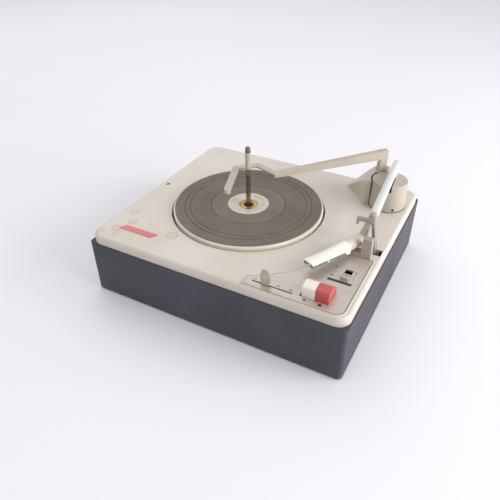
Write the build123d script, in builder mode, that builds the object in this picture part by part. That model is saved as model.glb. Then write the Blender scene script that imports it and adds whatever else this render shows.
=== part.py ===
from build123d import *
import math
import os

# An automatic record changer in a plinth. Millimetres, +Z up, +Y to the back.
# The origin is under the middle of the plinth, on the surface that the feet stand on.

os.makedirs("parts", exist_ok=True)

# Case
case_length = 350.0
case_depth = 308.0
case_height = 75.0
case_wall = 9.0
case_corner = 6.0
case_inner_corner = 3.0
board_thickness = 4.0
foot_reach = 2.0
foot_radius = 9.0
foot_inset = 24.0
screw_inset = 13.0
screw_head_radius = 3.4
screw_head_height = 1.2
gland_radius = 8.0
gland_x = -120.0
gland_height = 28.0
terminal_length = 46.0
terminal_depth = 12.0
terminal_height = 9.0
terminal_inset = 26.0
vent_length = 34.0
vent_width = 5.0
vent_pitch = 14.0
vent_count = 4

# Deck
deck_inset = 1.7
deck_rise = 12.0
deck_sheet = 2.0
deck_corner = 16.0
deck_shoulder = 4.0
recess_depth = 0.8
transit_inset = 13.5
transit_y = 3.0
transit_hole = 3.2
transit_length = 6.0
transit_sunk = 0.6
transit_flange = 2.0
transit_collar = 1.0
transit_clearance = 1.0
suspension_radius = 6.0
spring_wall = 1.2
block_margin = 4.0

# Platter
platter_x = -24.0
platter_y = 0.0
well_radius = 105.0
well_depth = 16.0
platter_radius = 102.5
rim_wall = 4.5
rim_depth = 14.0
rim_lip = 2.2
platter_lift = 2.5
platter_web = 2.5
mat_radius = 100.0
mat_thickness = 3.5
mat_hole = 28.0
mat_groove_radii = (86.7, 79.7, 50.7)
mat_groove = 0.8
hub_opening = 13.0
hub_radius = 12.0
bearing_radius = 6.0
running_gap = 0.05
safe_gap = 0.3
race_height = 3.0
race_flange = 2.0
race_margin = 0.5
ball_count = 8
bearing_tail = 9.0
bearing_head = 1.5
rim_round = 1.8
bead_inset = 5.5
bead_half = 0.8
bead_height = 0.9
bead_skirt = 0.5
hub_land = 0.3
hub_sink = 1.0
pinion_radius = 15.0
pinion_height = 4.0
pinion_teeth = 20

# Spindle
stem_radius = 3.2
head_radius = 3.55
head_offset = 0.4
ledge_height = 59.0
head_length = 24.0
cap_length = 6.7
latch_width = 2.0
latch_height = 3.6
latch_overhang = 1.4
latch_clearance = 0.6
cap_round = 3.0

# Drive
motor_speed = 1430.0
record_speeds = (78.0, 45.0, 100.0 / 3.0, 50.0 / 3.0)
idler_radius = 20.0
idler_angle = 75.0
idler_disc = 17.0
tyre_height = 3.4
step_height = 4.0
pulley_clearance = 2.0
pulley_margin = 4.0
idler_arm_length = 45.0
idler_arm_width = 10.0
idler_arm_sheet = 2.0
idler_stud = 2.0
idler_axle = 1.5
idler_hub = 4.5
idler_arm_drop = 3.0
idler_overrun = 1.0
idler_hole_radius = 3.1
idler_hole_ring = 10.2
motor_shaft = 1.6
rotor_radius = 14.0
rotor_gap = 0.5
core_size = 62.0
core_height = 18.0
core_corner = 4.0
coil_length = 40.0
coil_depth = 11.0
coil_height = 28.0
coil_corner = 2.0
coil_clearance = 2.0
motor_drop = 15.0
bracket_sheet = 2.0
bracket_width = 16.0
bracket_leg = 5.0
bracket_radius = 32.2
bracket_margin = 1.5
bracket_drop = 9.0
motor_screw_angles = (135.0, 238.0, 340.0)
motor_screw_margin = 6.0
shaft_overrun = 1.0
grommet_radius = 5.0
grommet_neck = 2.5
grommet_head = 1.5
cam_radius = 38.0
cam_teeth = 52
cam_height = 4.0
cam_gap_teeth = 4
cam_clearance = 1.0
cam_hole_radius = 7.6
cam_hole_ring = 20.9
cam_post_radius = 8.4
tooth_depth = 1.8
tooth_width = 1.9
trip_x = -20.0
trip_front_inset = 34.0
trip_length = 110.0
trip_width = 14.0
trip_sheet = 2.0
trip_slot_pitch = 66.0
trip_slot_width = 4.7
switch_inset = 25.0
switch_y = 45.0
switch_width = 22.0
switch_length = 30.0
switch_height = 16.0

# Tonearm
pivot_inset = 34.0
pivot_y = 97.5
turret_radius = 25.0
turret_height = 38.0
turret_draft = 2.2
turret_round = 1.2
turret_wall = 2.0
turret_gap = 0.8
slot_width = 12.6
slot_depth_under_arm = 6.5
yoke_drop = 15.0
yoke_plate = 3.0
cheek_reach = 5.0
block_length = 14.0
block_reach_down = 6.5
block_reach_up = 4.0
block_margin_sides = 1.0
block_top_drop = 2.5
arm_angle = -85.1
arm_axis_height = 41.5
arm_front = 105.5
arm_rear = 46.0
tube_radius = 5.4
tube_wall = 0.6
pivot_drop = 12.5
pin_radius = 1.5
cheek_gap = 18.0
cheek_thickness = 3.0
pillar_radius = 6.0
pillar_reach = 40.0
pillar_wall = 3.0
head_angle = -116.5
head_tail_inset = 43.7
head_tail_y = -43.6
shell_length = 59.0
shell_tail_width = 16.0
shell_width = 16.6
shell_crown = 8.7
nose_height = 4.9
nose_side = 3.5
heel_drop = 5.0
heel_length = 5.0
strip_start = 9.0
strip_lift = 0.2
nose_lift = 2.0
shell_bottom = 12.0
shell_wall = 1.2
collar_radius = 7.6
collar_height = 13.6
collar_length = 24.0
collar_round = 0.8
cartridge_length = 49.5
cartridge_start = 9.2
cartridge_width = 11.0
strip_width = 15.6
cartridge_drop = 1.6
stylus_back = 7.0
stylus_drop = 0.4
stylus_tail = 2.5
stylus_point = 0.8
stylus_taper = 12.0
lever_lead = 4.0
lever_radius = 1.2
tip_reach = 2.5
tip_recess = 2.0
tab_place = 34.0
tab_thickness = 1.1
tab_length = 3.0
tab_reach = 9.0
tube_end = 4.0
tube_round = 2.5
weight_length = 24.0
elbow_side = 4.6
elbow_back = 10.0
elbow_drop = 11.0
elbow_top_radius = 4.8
elbow_radius = 4.3
elbow_foot_radius = 5.2
bearing_reach = 12.0
bearing_flange = 9.0
bearing_flange_height = 3.0

# Arm rest, arm lock and fairing
rest_far_inset = 44.5
rest_near_inset = 14.5
rest_front = -39.5
rest_depth = 10.0
rest_height = 26.5
rest_draft = 2.0
rest_round = 1.0
upright_inset = 26.5
lock_thickness = 3.0
lock_top_inset = 21.3
lock_foot_reach = 2.5
lock_foot_rise = 7.0
lock_neck_rise = 24.0
lock_hook_width = 2.5
lock_round = 2.5
lock_slot_inner = 3.5
lock_slot_outer = 8.5
lock_slot_margin = 1.0
lock_ear_half = 4.0
lock_foot_width = 11.0
lock_pin_radius = 1.5
lock_pin_drop = 5.0
lock_hook_drop = 5.0
lock_ear = 2.0
lock_inset = 14.2
lock_y = -20.5
lock_bar_inset = 41.0
lock_bar_height = 42.5
lock_bar_thickness = 3.2
lock_bar_width = 6.0
fairing_arc = 157.5
fairing_tip_inset = 99.0
fairing_back = 134.0
fairing_shoulder_inset = 75.0
fairing_corner_angle = 30.5
fairing_right_reach = 11.0
fairing_tip_height = 1.0
fairing_slope_inset = 62.0
fairing_cut_margin = 20.0

# Overarm
post_inset = 54.0
post_y = 121.5
post_size = 8.8
post_length = 10.4
shaft_radius = 3.0
shaft_tail = 45.0
shaft_sunk = 7.0
shaft_clearance = 0.5
shaft_ring_radius = 5.4
shaft_ring_height = 2.0
post_height = 28.5
beam_depth = 12.0
beam_end_depth = 7.0
beam_end_width = 6.0
gusset_reach = 6.0
hook_width = 8.8
hook_sheet = 2.2
hook_height = 56.0
hook_lip = 3.0
hook_lip_wall = 1.5
hook_bends = ((8.5, 12.0), (-21.5, 21.5), (-42.5, 0.0), (-23.5, -55.0))
bush_reach = 14.0
bush_radius = 6.0
bush_flange_radius = 9.0
bush_flange_height = 2.0

# Controls
panel_arc = 151.0
panel_left_inset = 127.7
panel_back = -40.0
panel_right_inset = 10.5
panel_front_inset = 7.2
panel_corner = 10.0
panel_sheet = 1.0
panel_gap = 0.4
badge_inset = 54.5
badge_front_inset = 35.0
badge_length = 50.0
badge_width = 9.5
badge_slant = 5.0
badge_sheet = 0.8
key_width = 15.3
key_gap = 0.5
key_pair_inset = 44.6
key_front_inset = 17.5
key_depth = 23.5
key_rise = 13.5
key_crest = 16.0
key_back_rise = 7.6
key_travel = 3.0
key_well_inset = 62.7
key_stem = 6.0
key_skirt = 3.0
key_round = 2.2
stem_overrun = 2.0
key_well_gap = 1.5
guide_lift = 1.0
guide_sheet = 2.0
guide_margin = 3.5
speed_line_inset = 16.4
speed_slot_far_inset = 120.5
speed_slot_near_inset = 70.5
speed_slot_width = 1.8
speed_cutout = 6.0
speed_knob_inset = 103.1
speed_knob_width = 12.8
speed_knob_height = 20.4
speed_knob_thickness = 5.0
speed_knob_corner = 0.8
speed_knob_draft = 1.5
speed_knob_round = 1.0
shank_width = 5.0
selector_inset = 28.6
selector_front = -90.5
selector_length = 22.0
selector_width = 9.3
slider_length = 11.5
link_length = 30.0
link_depth = 5.6
link_sheet = 1.5
link_drop = 4.0
link_overlap = 3.0
selector_rise = 1.6
selector_ridge = 4.4
ridge_depth = 3.45
slider_flange = 2.0

# Levels
case_bottom = foot_reach
case_top = case_bottom + case_height
deck_top = case_top + deck_rise
deck_under = deck_top - deck_sheet
well_floor = deck_top - well_depth
floor_under = well_floor - deck_sheet
web_top = deck_top + platter_lift
web_under = web_top - platter_web
mat_top = web_top + mat_thickness
race_bottom = well_floor + race_flange
race_top = race_bottom + race_height
panel_bottom = deck_top - recess_depth
panel_top = panel_bottom + panel_sheet
rim_inner = platter_radius - rim_wall

# Places that follow from the sizes above
right_edge = case_length / 2.0
front_edge = -case_depth / 2.0
pivot_x = right_edge - pivot_inset
panel_left = right_edge - panel_left_inset
panel_right = right_edge - panel_right_inset
key_pair_x = right_edge - key_pair_inset
key_well_left = right_edge - key_well_inset
speed_slot_left = right_edge - speed_slot_far_inset
speed_slot_right = right_edge - speed_slot_near_inset
speed_knob_x = right_edge - speed_knob_inset
selector_x = right_edge - selector_inset
lock_x = right_edge - lock_inset
lock_top_x = right_edge - lock_top_inset
lock_bar_left = right_edge - lock_bar_inset
rest_left = right_edge - rest_far_inset
rest_right = right_edge - rest_near_inset
upright_left = right_edge - upright_inset
head_tail_x = right_edge - head_tail_inset
fairing_tip_x = right_edge - fairing_tip_inset
fairing_shoulder_x = right_edge - fairing_shoulder_inset
fairing_slope_end = right_edge - fairing_slope_inset
post_x = right_edge - post_inset
switch_x = right_edge - switch_inset
transit_x = transit_inset - right_edge
badge_x = badge_inset - right_edge
panel_front = front_edge + panel_front_inset
badge_y = front_edge + badge_front_inset
key_front = front_edge + key_front_inset
speed_line = front_edge + speed_line_inset
trip_y = front_edge + trip_front_inset
deck_length = case_length - 2.0 * deck_inset
deck_depth = case_depth - 2.0 * deck_inset
inner_length = case_length - 2.0 * case_wall
inner_depth = case_depth - 2.0 * case_wall
spindle_base = floor_under - bearing_tail
ledge_level = deck_top + ledge_height
arm_level = deck_top + arm_axis_height
pin_level = arm_level - pivot_drop
roof_level = deck_top + turret_height
fairing_slope = (turret_height - fairing_tip_height) / (fairing_slope_end - fairing_tip_x)
along_arm = Vector(math.cos(math.radians(arm_angle)), math.sin(math.radians(arm_angle)), 0)
across_arm = Vector(-along_arm.Y, along_arm.X, 0)
along_head = Vector(math.cos(math.radians(head_angle)), math.sin(math.radians(head_angle)), 0)
arm_root = Vector(pivot_x, pivot_y, arm_level)
pin_centre = Vector(pivot_x, pivot_y, pin_level)
pulley_radii = [rim_inner * speed / motor_speed for speed in record_speeds]
playing_radius = pulley_radii[2]
idler_seat = rim_inner - idler_radius - safe_gap
idler_x = platter_x + idler_seat * math.cos(math.radians(idler_angle))
idler_y = platter_y + idler_seat * math.sin(math.radians(idler_angle))
pulley_angle = idler_angle - 90.0
pulley_reach = idler_radius + playing_radius + safe_gap
motor_x = idler_x + pulley_reach * math.cos(math.radians(pulley_angle))
motor_y = idler_y + pulley_reach * math.sin(math.radians(pulley_angle))
retract_angle = (idler_angle + pulley_angle) / 2.0 - 90.0
idler_pivot_x = idler_x + idler_arm_length * math.cos(math.radians(retract_angle))
idler_pivot_y = idler_y + idler_arm_length * math.sin(math.radians(retract_angle))
step_base = web_under - pulley_clearance - step_height * len(record_speeds)
wheel_level = step_base + 2.0 * step_height + step_height / 2.0
arm_sheet_level = wheel_level - step_height / 2.0 - idler_arm_drop
core_top = floor_under - motor_drop
core_bottom = core_top - core_height
cam_x = platter_x - pinion_radius - cam_radius - safe_gap
cam_level = race_top + cam_clearance


def finish(part, name):
    """Label a finished piece and write it."""
    part.label = name
    export_step(part, "parts/" + name + ".step")


def at(x, y, z):
    """A level plane through a point."""
    return Plane(origin=(x, y, z), x_dir=(1, 0, 0), z_dir=(0, 0, 1))


def facing(origin, direction):
    """A plane through a point, square to a direction, with its X axis level."""
    side = Vector(0, 0, 1).cross(direction)
    return Plane(origin=origin, x_dir=side, z_dir=direction)


def around_platter(radius, angle):
    """A plan point at a radius and an angle round the platter's axis."""
    turn = math.radians(angle)
    return (platter_x + radius * math.cos(turn), platter_y + radius * math.sin(turn))


def panel_outline(grow):
    """The edges of the control panel before the record's edge is cut from it."""
    left = panel_left - grow
    right = panel_right + grow
    front = panel_front - grow
    back = panel_back + grow
    corner = panel_corner + grow
    with BuildLine() as outline:
        Polyline((right, front + corner), (right, back), (left, back), (left, front), (right - corner, front))
        RadiusArc((right - corner, front), (right, front + corner), -corner)
    return outline.edges()


# Case and base
with BuildPart() as plinth_case:
    with BuildSketch(at(0, 0, case_bottom)):
        RectangleRounded(case_length, case_depth, case_corner)
        RectangleRounded(inner_length, inner_depth, case_inner_corner, mode=Mode.SUBTRACT)
    extrude(amount=case_height)
    with BuildSketch(Plane(origin=(gland_x, 0, case_bottom + gland_height), x_dir=(-1, 0, 0), z_dir=(0, 1, 0))):
        Circle(gland_radius)
    extrude(amount=case_depth, mode=Mode.SUBTRACT)
finish(plinth_case.part, "plinth_case")

with BuildPart() as base_board:
    with BuildSketch(at(0, 0, case_bottom)):
        RectangleRounded(inner_length, inner_depth, case_inner_corner)
        with Locations((motor_x, motor_y)):
            with GridLocations(vent_pitch, vent_length, vent_count, 1):
                SlotOverall(vent_length, vent_width, rotation=90, mode=Mode.SUBTRACT)
    extrude(amount=board_thickness)
finish(base_board.part, "base_board")

foot_pitch_x = case_length - 2.0 * foot_inset
foot_pitch_y = case_depth - 2.0 * foot_inset
with BuildPart() as rubber_feet:
    with BuildSketch(at(0, 0, 0)):
        with GridLocations(foot_pitch_x, foot_pitch_y, 2, 2):
            Circle(foot_radius)
    extrude(amount=foot_reach)
finish(rubber_feet.part, "rubber_feet")

screw_pitch_x = inner_length - 2.0 * screw_inset
screw_pitch_y = inner_depth / 2.0
with BuildPart() as base_screws:
    with BuildSketch(at(0, 0, case_bottom)):
        with GridLocations(screw_pitch_x, screw_pitch_y, 2, 2):
            Circle(screw_head_radius)
    extrude(amount=-screw_head_height)
finish(base_screws.part, "base_screws")

gland_face = case_depth / 2.0
with BuildPart() as rear_gland:
    with BuildSketch(Plane(origin=(gland_x, gland_face - case_wall, case_bottom + gland_height),
                           x_dir=(-1, 0, 0), z_dir=(0, 1, 0))):
        Circle(gland_radius)
        Circle(gland_radius / 2.0, mode=Mode.SUBTRACT)
    extrude(amount=case_wall)
finish(rear_gland.part, "rear_gland")

# Deck, a pressed sheet with a turned down edge and a round well for the platter
lock_slot_left = lock_x - lock_slot_inner
lock_slot_right = lock_x + lock_slot_outer
lock_slot_front = lock_y - lock_foot_width / 2.0 - lock_slot_margin
lock_slot_back = lock_y + lock_foot_width / 2.0 + lock_slot_margin
lock_pin_level = deck_top - lock_pin_drop
key_well_right = key_pair_x + key_width + key_gap
key_well_back = key_front + key_depth + key_well_gap
key_well_front = key_front - key_gap
motor_screw_reach = core_size / 2.0 + motor_screw_margin


def motor_screw_places():
    """Plan points of the motor's fixing screws."""
    return [(motor_x + motor_screw_reach * math.cos(math.radians(angle)),
             motor_y + motor_screw_reach * math.sin(math.radians(angle))) for angle in motor_screw_angles]


def rectangle_between(left, right, front, back, **options):
    """A rectangle given by its four sides."""
    with Locations(((left + right) / 2.0, (front + back) / 2.0)):
        Rectangle(right - left, back - front, **options)


with BuildPart() as deck_plate:
    with BuildSketch(at(0, 0, case_top)):
        RectangleRounded(deck_length, deck_depth, deck_corner)
    extrude(amount=deck_rise)
    fillet(deck_plate.edges().group_by(Axis.Z)[-1], deck_shoulder)
    with BuildSketch(at(0, 0, case_top)):
        RectangleRounded(deck_length - 2.0 * deck_sheet, deck_depth - 2.0 * deck_sheet, deck_corner - deck_sheet)
    extrude(amount=deck_rise - deck_sheet, mode=Mode.SUBTRACT)
    with BuildSketch(at(platter_x, platter_y, floor_under)):
        Circle(well_radius + deck_sheet)
    extrude(amount=deck_under - floor_under + deck_sheet / 2.0)
    with BuildSketch(at(platter_x, platter_y, well_floor)):
        Circle(well_radius)
    extrude(amount=well_depth, mode=Mode.SUBTRACT)
    with BuildSketch(at(0, 0, panel_bottom)):
        make_face(panel_outline(panel_gap))
        with Locations((platter_x, platter_y)):
            Circle(panel_arc - panel_gap, mode=Mode.SUBTRACT)
    extrude(amount=recess_depth, mode=Mode.SUBTRACT)
    with BuildSketch(at(0, 0, floor_under)):
        with Locations((platter_x, platter_y)):
            Circle(bearing_radius)
        with Locations((motor_x, motor_y)):
            Circle(pulley_radii[0] + pulley_margin)
        with Locations(motor_screw_places()):
            Circle(grommet_neck)
        with Locations((pivot_x, pivot_y)):
            Circle(pillar_radius + pillar_wall)
        with Locations((post_x, post_y)):
            Circle(bush_radius)
        with Locations((transit_x, transit_y)):
            Circle(transit_hole)
        rectangle_between(key_well_left, key_well_right, key_well_front, key_well_back)
        rectangle_between(speed_slot_left, speed_slot_right, speed_line - speed_cutout / 2.0,
                          speed_line + speed_cutout / 2.0)
        rectangle_between(selector_x - selector_width / 2.0, selector_x + selector_width / 2.0,
                          selector_front, selector_front + selector_length)
        rectangle_between(lock_slot_left, lock_slot_right, lock_slot_front, lock_slot_back)
    extrude(amount=deck_rise + well_depth, mode=Mode.SUBTRACT)
    with BuildSketch(at(idler_pivot_x, idler_pivot_y, well_floor)):
        Circle(idler_stud)
    extrude(amount=arm_sheet_level + idler_arm_sheet + idler_overrun - well_floor)
    with BuildSketch(at(0, 0, deck_under)):
        rectangle_between(lock_x - lock_ear_half, lock_x + lock_ear_half,
                          lock_slot_front - lock_ear, lock_slot_front)
        rectangle_between(lock_x - lock_ear_half, lock_x + lock_ear_half,
                          lock_slot_back, lock_slot_back + lock_ear)
    extrude(amount=-(deck_under - lock_pin_level + lock_ear_half))
    with BuildSketch(Plane(origin=(lock_x, 0, lock_pin_level), x_dir=(1, 0, 0), z_dir=(0, -1, 0))):
        Circle(lock_pin_radius + running_gap)
    extrude(amount=2.0 * lock_foot_width - lock_y, mode=Mode.SUBTRACT)
finish(deck_plate.part, "deck_plate")

block_size = 2.0 * suspension_radius + block_margin
with BuildPart() as corner_blocks:
    with BuildSketch(at(0, 0, case_bottom + board_thickness)):
        with GridLocations(inner_length - block_size, inner_depth - block_size, 2, 2):
            Rectangle(block_size, block_size)
        RectangleRounded(inner_length, inner_depth, case_inner_corner, mode=Mode.INTERSECT)
    extrude(amount=case_height - board_thickness)
finish(corner_blocks.part, "corner_blocks")

with BuildPart() as deck_springs:
    with BuildSketch(at(0, 0, case_top)):
        with GridLocations(inner_length - block_size, inner_depth - block_size, 2, 2):
            Circle(suspension_radius)
            Circle(suspension_radius - spring_wall, mode=Mode.SUBTRACT)
    extrude(amount=deck_rise - deck_sheet)
finish(deck_springs.part, "deck_springs")

with BuildPart() as transit_screw:
    with BuildSketch(at(transit_x, transit_y, deck_under - transit_length)):
        Circle(transit_hole - transit_clearance)
    extrude(amount=transit_length + deck_sheet - transit_sunk)
    with BuildSketch(at(transit_x, transit_y, deck_under - transit_collar)):
        Circle(transit_hole + transit_flange)
    extrude(amount=transit_collar)
finish(transit_screw.part, "transit_screw")

# Control panel, badge and keys
with BuildPart() as control_panel:
    with BuildSketch(at(0, 0, panel_bottom)):
        make_face(panel_outline(0))
        with Locations((platter_x, platter_y)):
            Circle(panel_arc, mode=Mode.SUBTRACT)
        rectangle_between(key_well_left, key_well_right, key_well_front, key_well_back, mode=Mode.SUBTRACT)
        rectangle_between(speed_slot_left, speed_slot_right, speed_line - speed_slot_width / 2.0,
                          speed_line + speed_slot_width / 2.0, mode=Mode.SUBTRACT)
        rectangle_between(selector_x - selector_width / 2.0, selector_x + selector_width / 2.0,
                          selector_front, selector_front + selector_length, mode=Mode.SUBTRACT)
    extrude(amount=panel_sheet)
finish(control_panel.part, "control_panel")

badge_half = badge_length / 2.0
badge_lean = badge_slant / 2.0
with BuildPart() as badge_plate:
    with BuildSketch(at(badge_x, badge_y, deck_top)):
        with BuildLine():
            Polyline((-badge_half - badge_lean, -badge_width / 2.0),
                     (badge_half - badge_lean, -badge_width / 2.0),
                     (badge_half + badge_lean, badge_width / 2.0),
                     (-badge_half + badge_lean, badge_width / 2.0), close=True)
        make_face()
    extrude(amount=badge_sheet)
    chamfer(badge_plate.faces().sort_by(Axis.Z)[-1].edges(), badge_sheet / 4.0)
finish(badge_plate.part, "badge_plate")

key_bottom = deck_under - key_skirt
key_back = key_front + key_depth
key_middle = key_front + key_depth / 2.0
stem_bottom = floor_under - stem_overrun
guide_level = well_floor + guide_lift


def key(centre_x):
    """One of the two keys, with a sloped face, a rounded crest and a guided stem."""
    with BuildPart() as piece:
        with BuildSketch(Plane(origin=(centre_x - key_width / 2.0, 0, 0), x_dir=(0, 1, 0), z_dir=(1, 0, 0))):
            with BuildLine():
                Polyline((key_front, key_bottom), (key_front, deck_top + key_rise), (key_middle, deck_top + key_crest),
                         (key_back, deck_top + key_back_rise), (key_back, key_bottom), close=True)
            make_face()
        extrude(amount=key_width)
        fillet(piece.edges().filter_by(Axis.X).sort_by(Axis.Z)[-3:], key_round)
        with BuildSketch(at(centre_x, key_middle, stem_bottom)):
            Rectangle(key_stem, key_stem)
        extrude(amount=key_bottom - stem_bottom)
    return piece.part


start_x = key_pair_x - (key_width + key_gap) / 2.0
stop_x = key_pair_x + (key_width + key_gap) / 2.0
finish(key(start_x), "start_key")
finish(key(stop_x), "stop_key")

guide_left = key_well_left - guide_margin
guide_right = key_well_right + guide_margin
guide_hole = key_stem + 2.0 * safe_gap
with BuildPart() as key_guide:
    with BuildSketch(at(0, 0, guide_level)):
        rectangle_between(guide_left, guide_right, key_front, key_back)
        with Locations((start_x, key_middle), (stop_x, key_middle)):
            Rectangle(guide_hole, guide_hole, mode=Mode.SUBTRACT)
    extrude(amount=guide_sheet)
    with BuildSketch(at(0, 0, guide_level + guide_sheet)):
        rectangle_between(guide_left, guide_left + guide_sheet, key_front, key_back)
        rectangle_between(guide_right - guide_sheet, guide_right, key_front, key_back)
    extrude(amount=deck_under - guide_level - guide_sheet)
finish(key_guide.part, "key_guide")

# Speed lever and selector
link_level = deck_under - link_drop
shank = speed_slot_width - 2.0 * safe_gap
with BuildPart() as speed_knob:
    with BuildSketch(at(speed_knob_x, speed_line, panel_top + safe_gap)):
        RectangleRounded(speed_knob_width, speed_knob_thickness, speed_knob_corner)
    extrude(amount=speed_knob_height, taper=speed_knob_draft)
    fillet(speed_knob.faces().sort_by(Axis.Z)[-1].edges(), speed_knob_round)
    with BuildSketch(at(speed_knob_x, speed_line, link_level + link_sheet)):
        Rectangle(shank_width, shank)
    extrude(amount=panel_top + safe_gap - link_level - link_sheet)
finish(speed_knob.part, "speed_knob")

with BuildPart() as speed_link:
    with BuildSketch(at(0, 0, link_level)):
        rectangle_between(speed_knob_x + link_overlap - link_length, speed_knob_x + link_overlap,
                          speed_line + shank / 2.0 - link_depth, speed_line + shank / 2.0)
    extrude(amount=link_sheet)
finish(speed_link.part, "speed_link")

slider_front = selector_front + safe_gap
slider_back = slider_front + slider_length
slider_half = selector_width / 2.0 - safe_gap
with BuildPart() as selector_slider:
    with BuildSketch(at(0, 0, deck_under)):
        rectangle_between(selector_x - slider_half, selector_x + slider_half, slider_front, slider_back)
    extrude(amount=deck_sheet + selector_rise)
    with BuildSketch(at(0, 0, deck_top + selector_rise)):
        rectangle_between(selector_x - slider_half, selector_x + slider_half,
                          slider_front, slider_front + ridge_depth)
    extrude(amount=selector_ridge - selector_rise)
    with BuildSketch(at(0, 0, deck_under)):
        rectangle_between(selector_x - slider_half - slider_flange, selector_x + slider_half + slider_flange,
                          slider_front, slider_back)
    extrude(amount=-slider_flange)
finish(selector_slider.part, "selector_slider")

# Arm rest and arm lock
collar_level = deck_top + collar_height
shelf_top = collar_level - collar_radius - safe_gap
rest_back = rest_front + rest_depth
with BuildPart() as arm_rest:
    with BuildSketch(at(0, 0, deck_top)):
        rectangle_between(rest_left, rest_right, rest_front, rest_back)
    extrude(amount=shelf_top - deck_top)
    with BuildSketch(at(0, 0, shelf_top)):
        rectangle_between(upright_left, rest_right, rest_front, rest_back)
    extrude(amount=deck_top + rest_height - shelf_top, taper=rest_draft)
    fillet(arm_rest.faces().sort_by(Axis.Z)[-1].edges(), rest_round)
finish(arm_rest.part, "arm_rest")

bar_top = deck_top + lock_bar_height
bar_under = bar_top - lock_bar_thickness
hook_under = bar_under - lock_hook_drop
leg_half = lock_thickness / 2.0
foot_level = lock_pin_level - lock_foot_reach
hook_right = lock_bar_left + lock_hook_width
foot_front = lock_y - lock_foot_width / 2.0
foot_back = lock_y + lock_foot_width / 2.0
bar_front = lock_y - lock_bar_width / 2.0
bar_back = lock_y + lock_bar_width / 2.0
with BuildPart() as arm_lock:
    with BuildSketch(Plane(origin=(0, foot_back, 0), x_dir=(1, 0, 0), z_dir=(0, -1, 0))):
        with BuildLine():
            Polyline((lock_x - leg_half, foot_level), (lock_x - leg_half, deck_top),
                     (lock_top_x - leg_half, bar_under), (hook_right, bar_under), (hook_right, hook_under),
                     (lock_bar_left, hook_under), (lock_bar_left, bar_top), (lock_top_x + leg_half, bar_top),
                     (lock_x + leg_half, deck_top), (lock_x + leg_half, foot_level), close=True)
        make_face()
    extrude(amount=lock_foot_width)
    fillet(arm_lock.edges().filter_by(Axis.Y).group_by(Axis.Z)[-1].sort_by(Axis.X)[-1:], lock_round)
    with BuildSketch(Plane(origin=(lock_bar_left, 0, 0), x_dir=(0, 1, 0), z_dir=(1, 0, 0))):
        with BuildLine():
            Polyline((foot_front, foot_level), (foot_back, foot_level), (foot_back, deck_top + lock_foot_rise),
                     (bar_back, deck_top + lock_neck_rise), (bar_back, bar_top), (bar_front, bar_top),
                     (bar_front, deck_top + lock_neck_rise), (foot_front, deck_top + lock_foot_rise), close=True)
        make_face()
    extrude(amount=lock_slot_right - lock_bar_left, mode=Mode.INTERSECT)
    with BuildSketch(Plane(origin=(lock_x, lock_slot_back + lock_ear, lock_pin_level),
                           x_dir=(1, 0, 0), z_dir=(0, -1, 0))):
        Circle(lock_pin_radius)
    extrude(amount=lock_slot_back - lock_slot_front + 2.0 * lock_ear)
finish(arm_lock.part, "arm_lock")

# Spindle and its latch
head_x = platter_x - head_offset
head_top = ledge_level + head_length
latch_bottom = ledge_level - latch_height - latch_clearance
with BuildPart() as spindle_stem:
    with BuildSketch(at(platter_x, platter_y, spindle_base)):
        Circle(stem_radius)
    extrude(amount=ledge_level - spindle_base)
    with BuildSketch(at(platter_x, platter_y, latch_bottom - running_gap)):
        Rectangle(3.0 * stem_radius, latch_width + 2.0 * running_gap)
    extrude(amount=latch_height + 2.0 * running_gap, mode=Mode.SUBTRACT)
finish(spindle_stem.part, "spindle_stem")

with BuildPart() as spindle_head:
    with BuildSketch(at(head_x, platter_y, ledge_level)):
        Circle(head_radius)
    extrude(amount=head_length)
finish(spindle_head.part, "spindle_head")

with BuildPart() as spindle_cap:
    with BuildSketch(at(head_x, platter_y, head_top)):
        Circle(head_radius)
    extrude(amount=cap_length)
    fillet(spindle_cap.faces().sort_by(Axis.Z)[-1].edges(), cap_round)
finish(spindle_cap.part, "spindle_cap")

with BuildPart() as spindle_latch:
    with BuildSketch(at(platter_x, platter_y, latch_bottom)):
        Rectangle(2.0 * stem_radius + latch_overhang, latch_width)
    extrude(amount=latch_height)
finish(spindle_latch.part, "spindle_latch")

# Platter, its bearing and what it drives
with BuildPart() as centre_bearing:
    with BuildSketch(at(platter_x, platter_y, spindle_base)):
        Circle(bearing_radius)
    extrude(amount=web_top + bearing_head - spindle_base)
    with BuildSketch(at(platter_x, platter_y, well_floor)):
        Circle(hub_radius + race_flange)
    extrude(amount=race_bottom - well_floor)
    with BuildSketch(at(platter_x, platter_y, spindle_base)):
        Circle(stem_radius)
    extrude(amount=2.0 * deck_top, mode=Mode.SUBTRACT)
finish(centre_bearing.part, "centre_bearing")

ball_ring = (bearing_radius + hub_radius) / 2.0
with BuildPart() as thrust_race:
    with BuildSketch(at(platter_x, platter_y, race_bottom + race_height / 3.0)):
        Circle(hub_radius - race_margin)
        Circle(bearing_radius, mode=Mode.SUBTRACT)
    extrude(amount=race_height / 3.0)
    with Locations((platter_x, platter_y, race_bottom + race_height / 2.0)):
        with PolarLocations(ball_ring, ball_count):
            Sphere(race_height / 2.0)
finish(thrust_race.part, "thrust_race")

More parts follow.
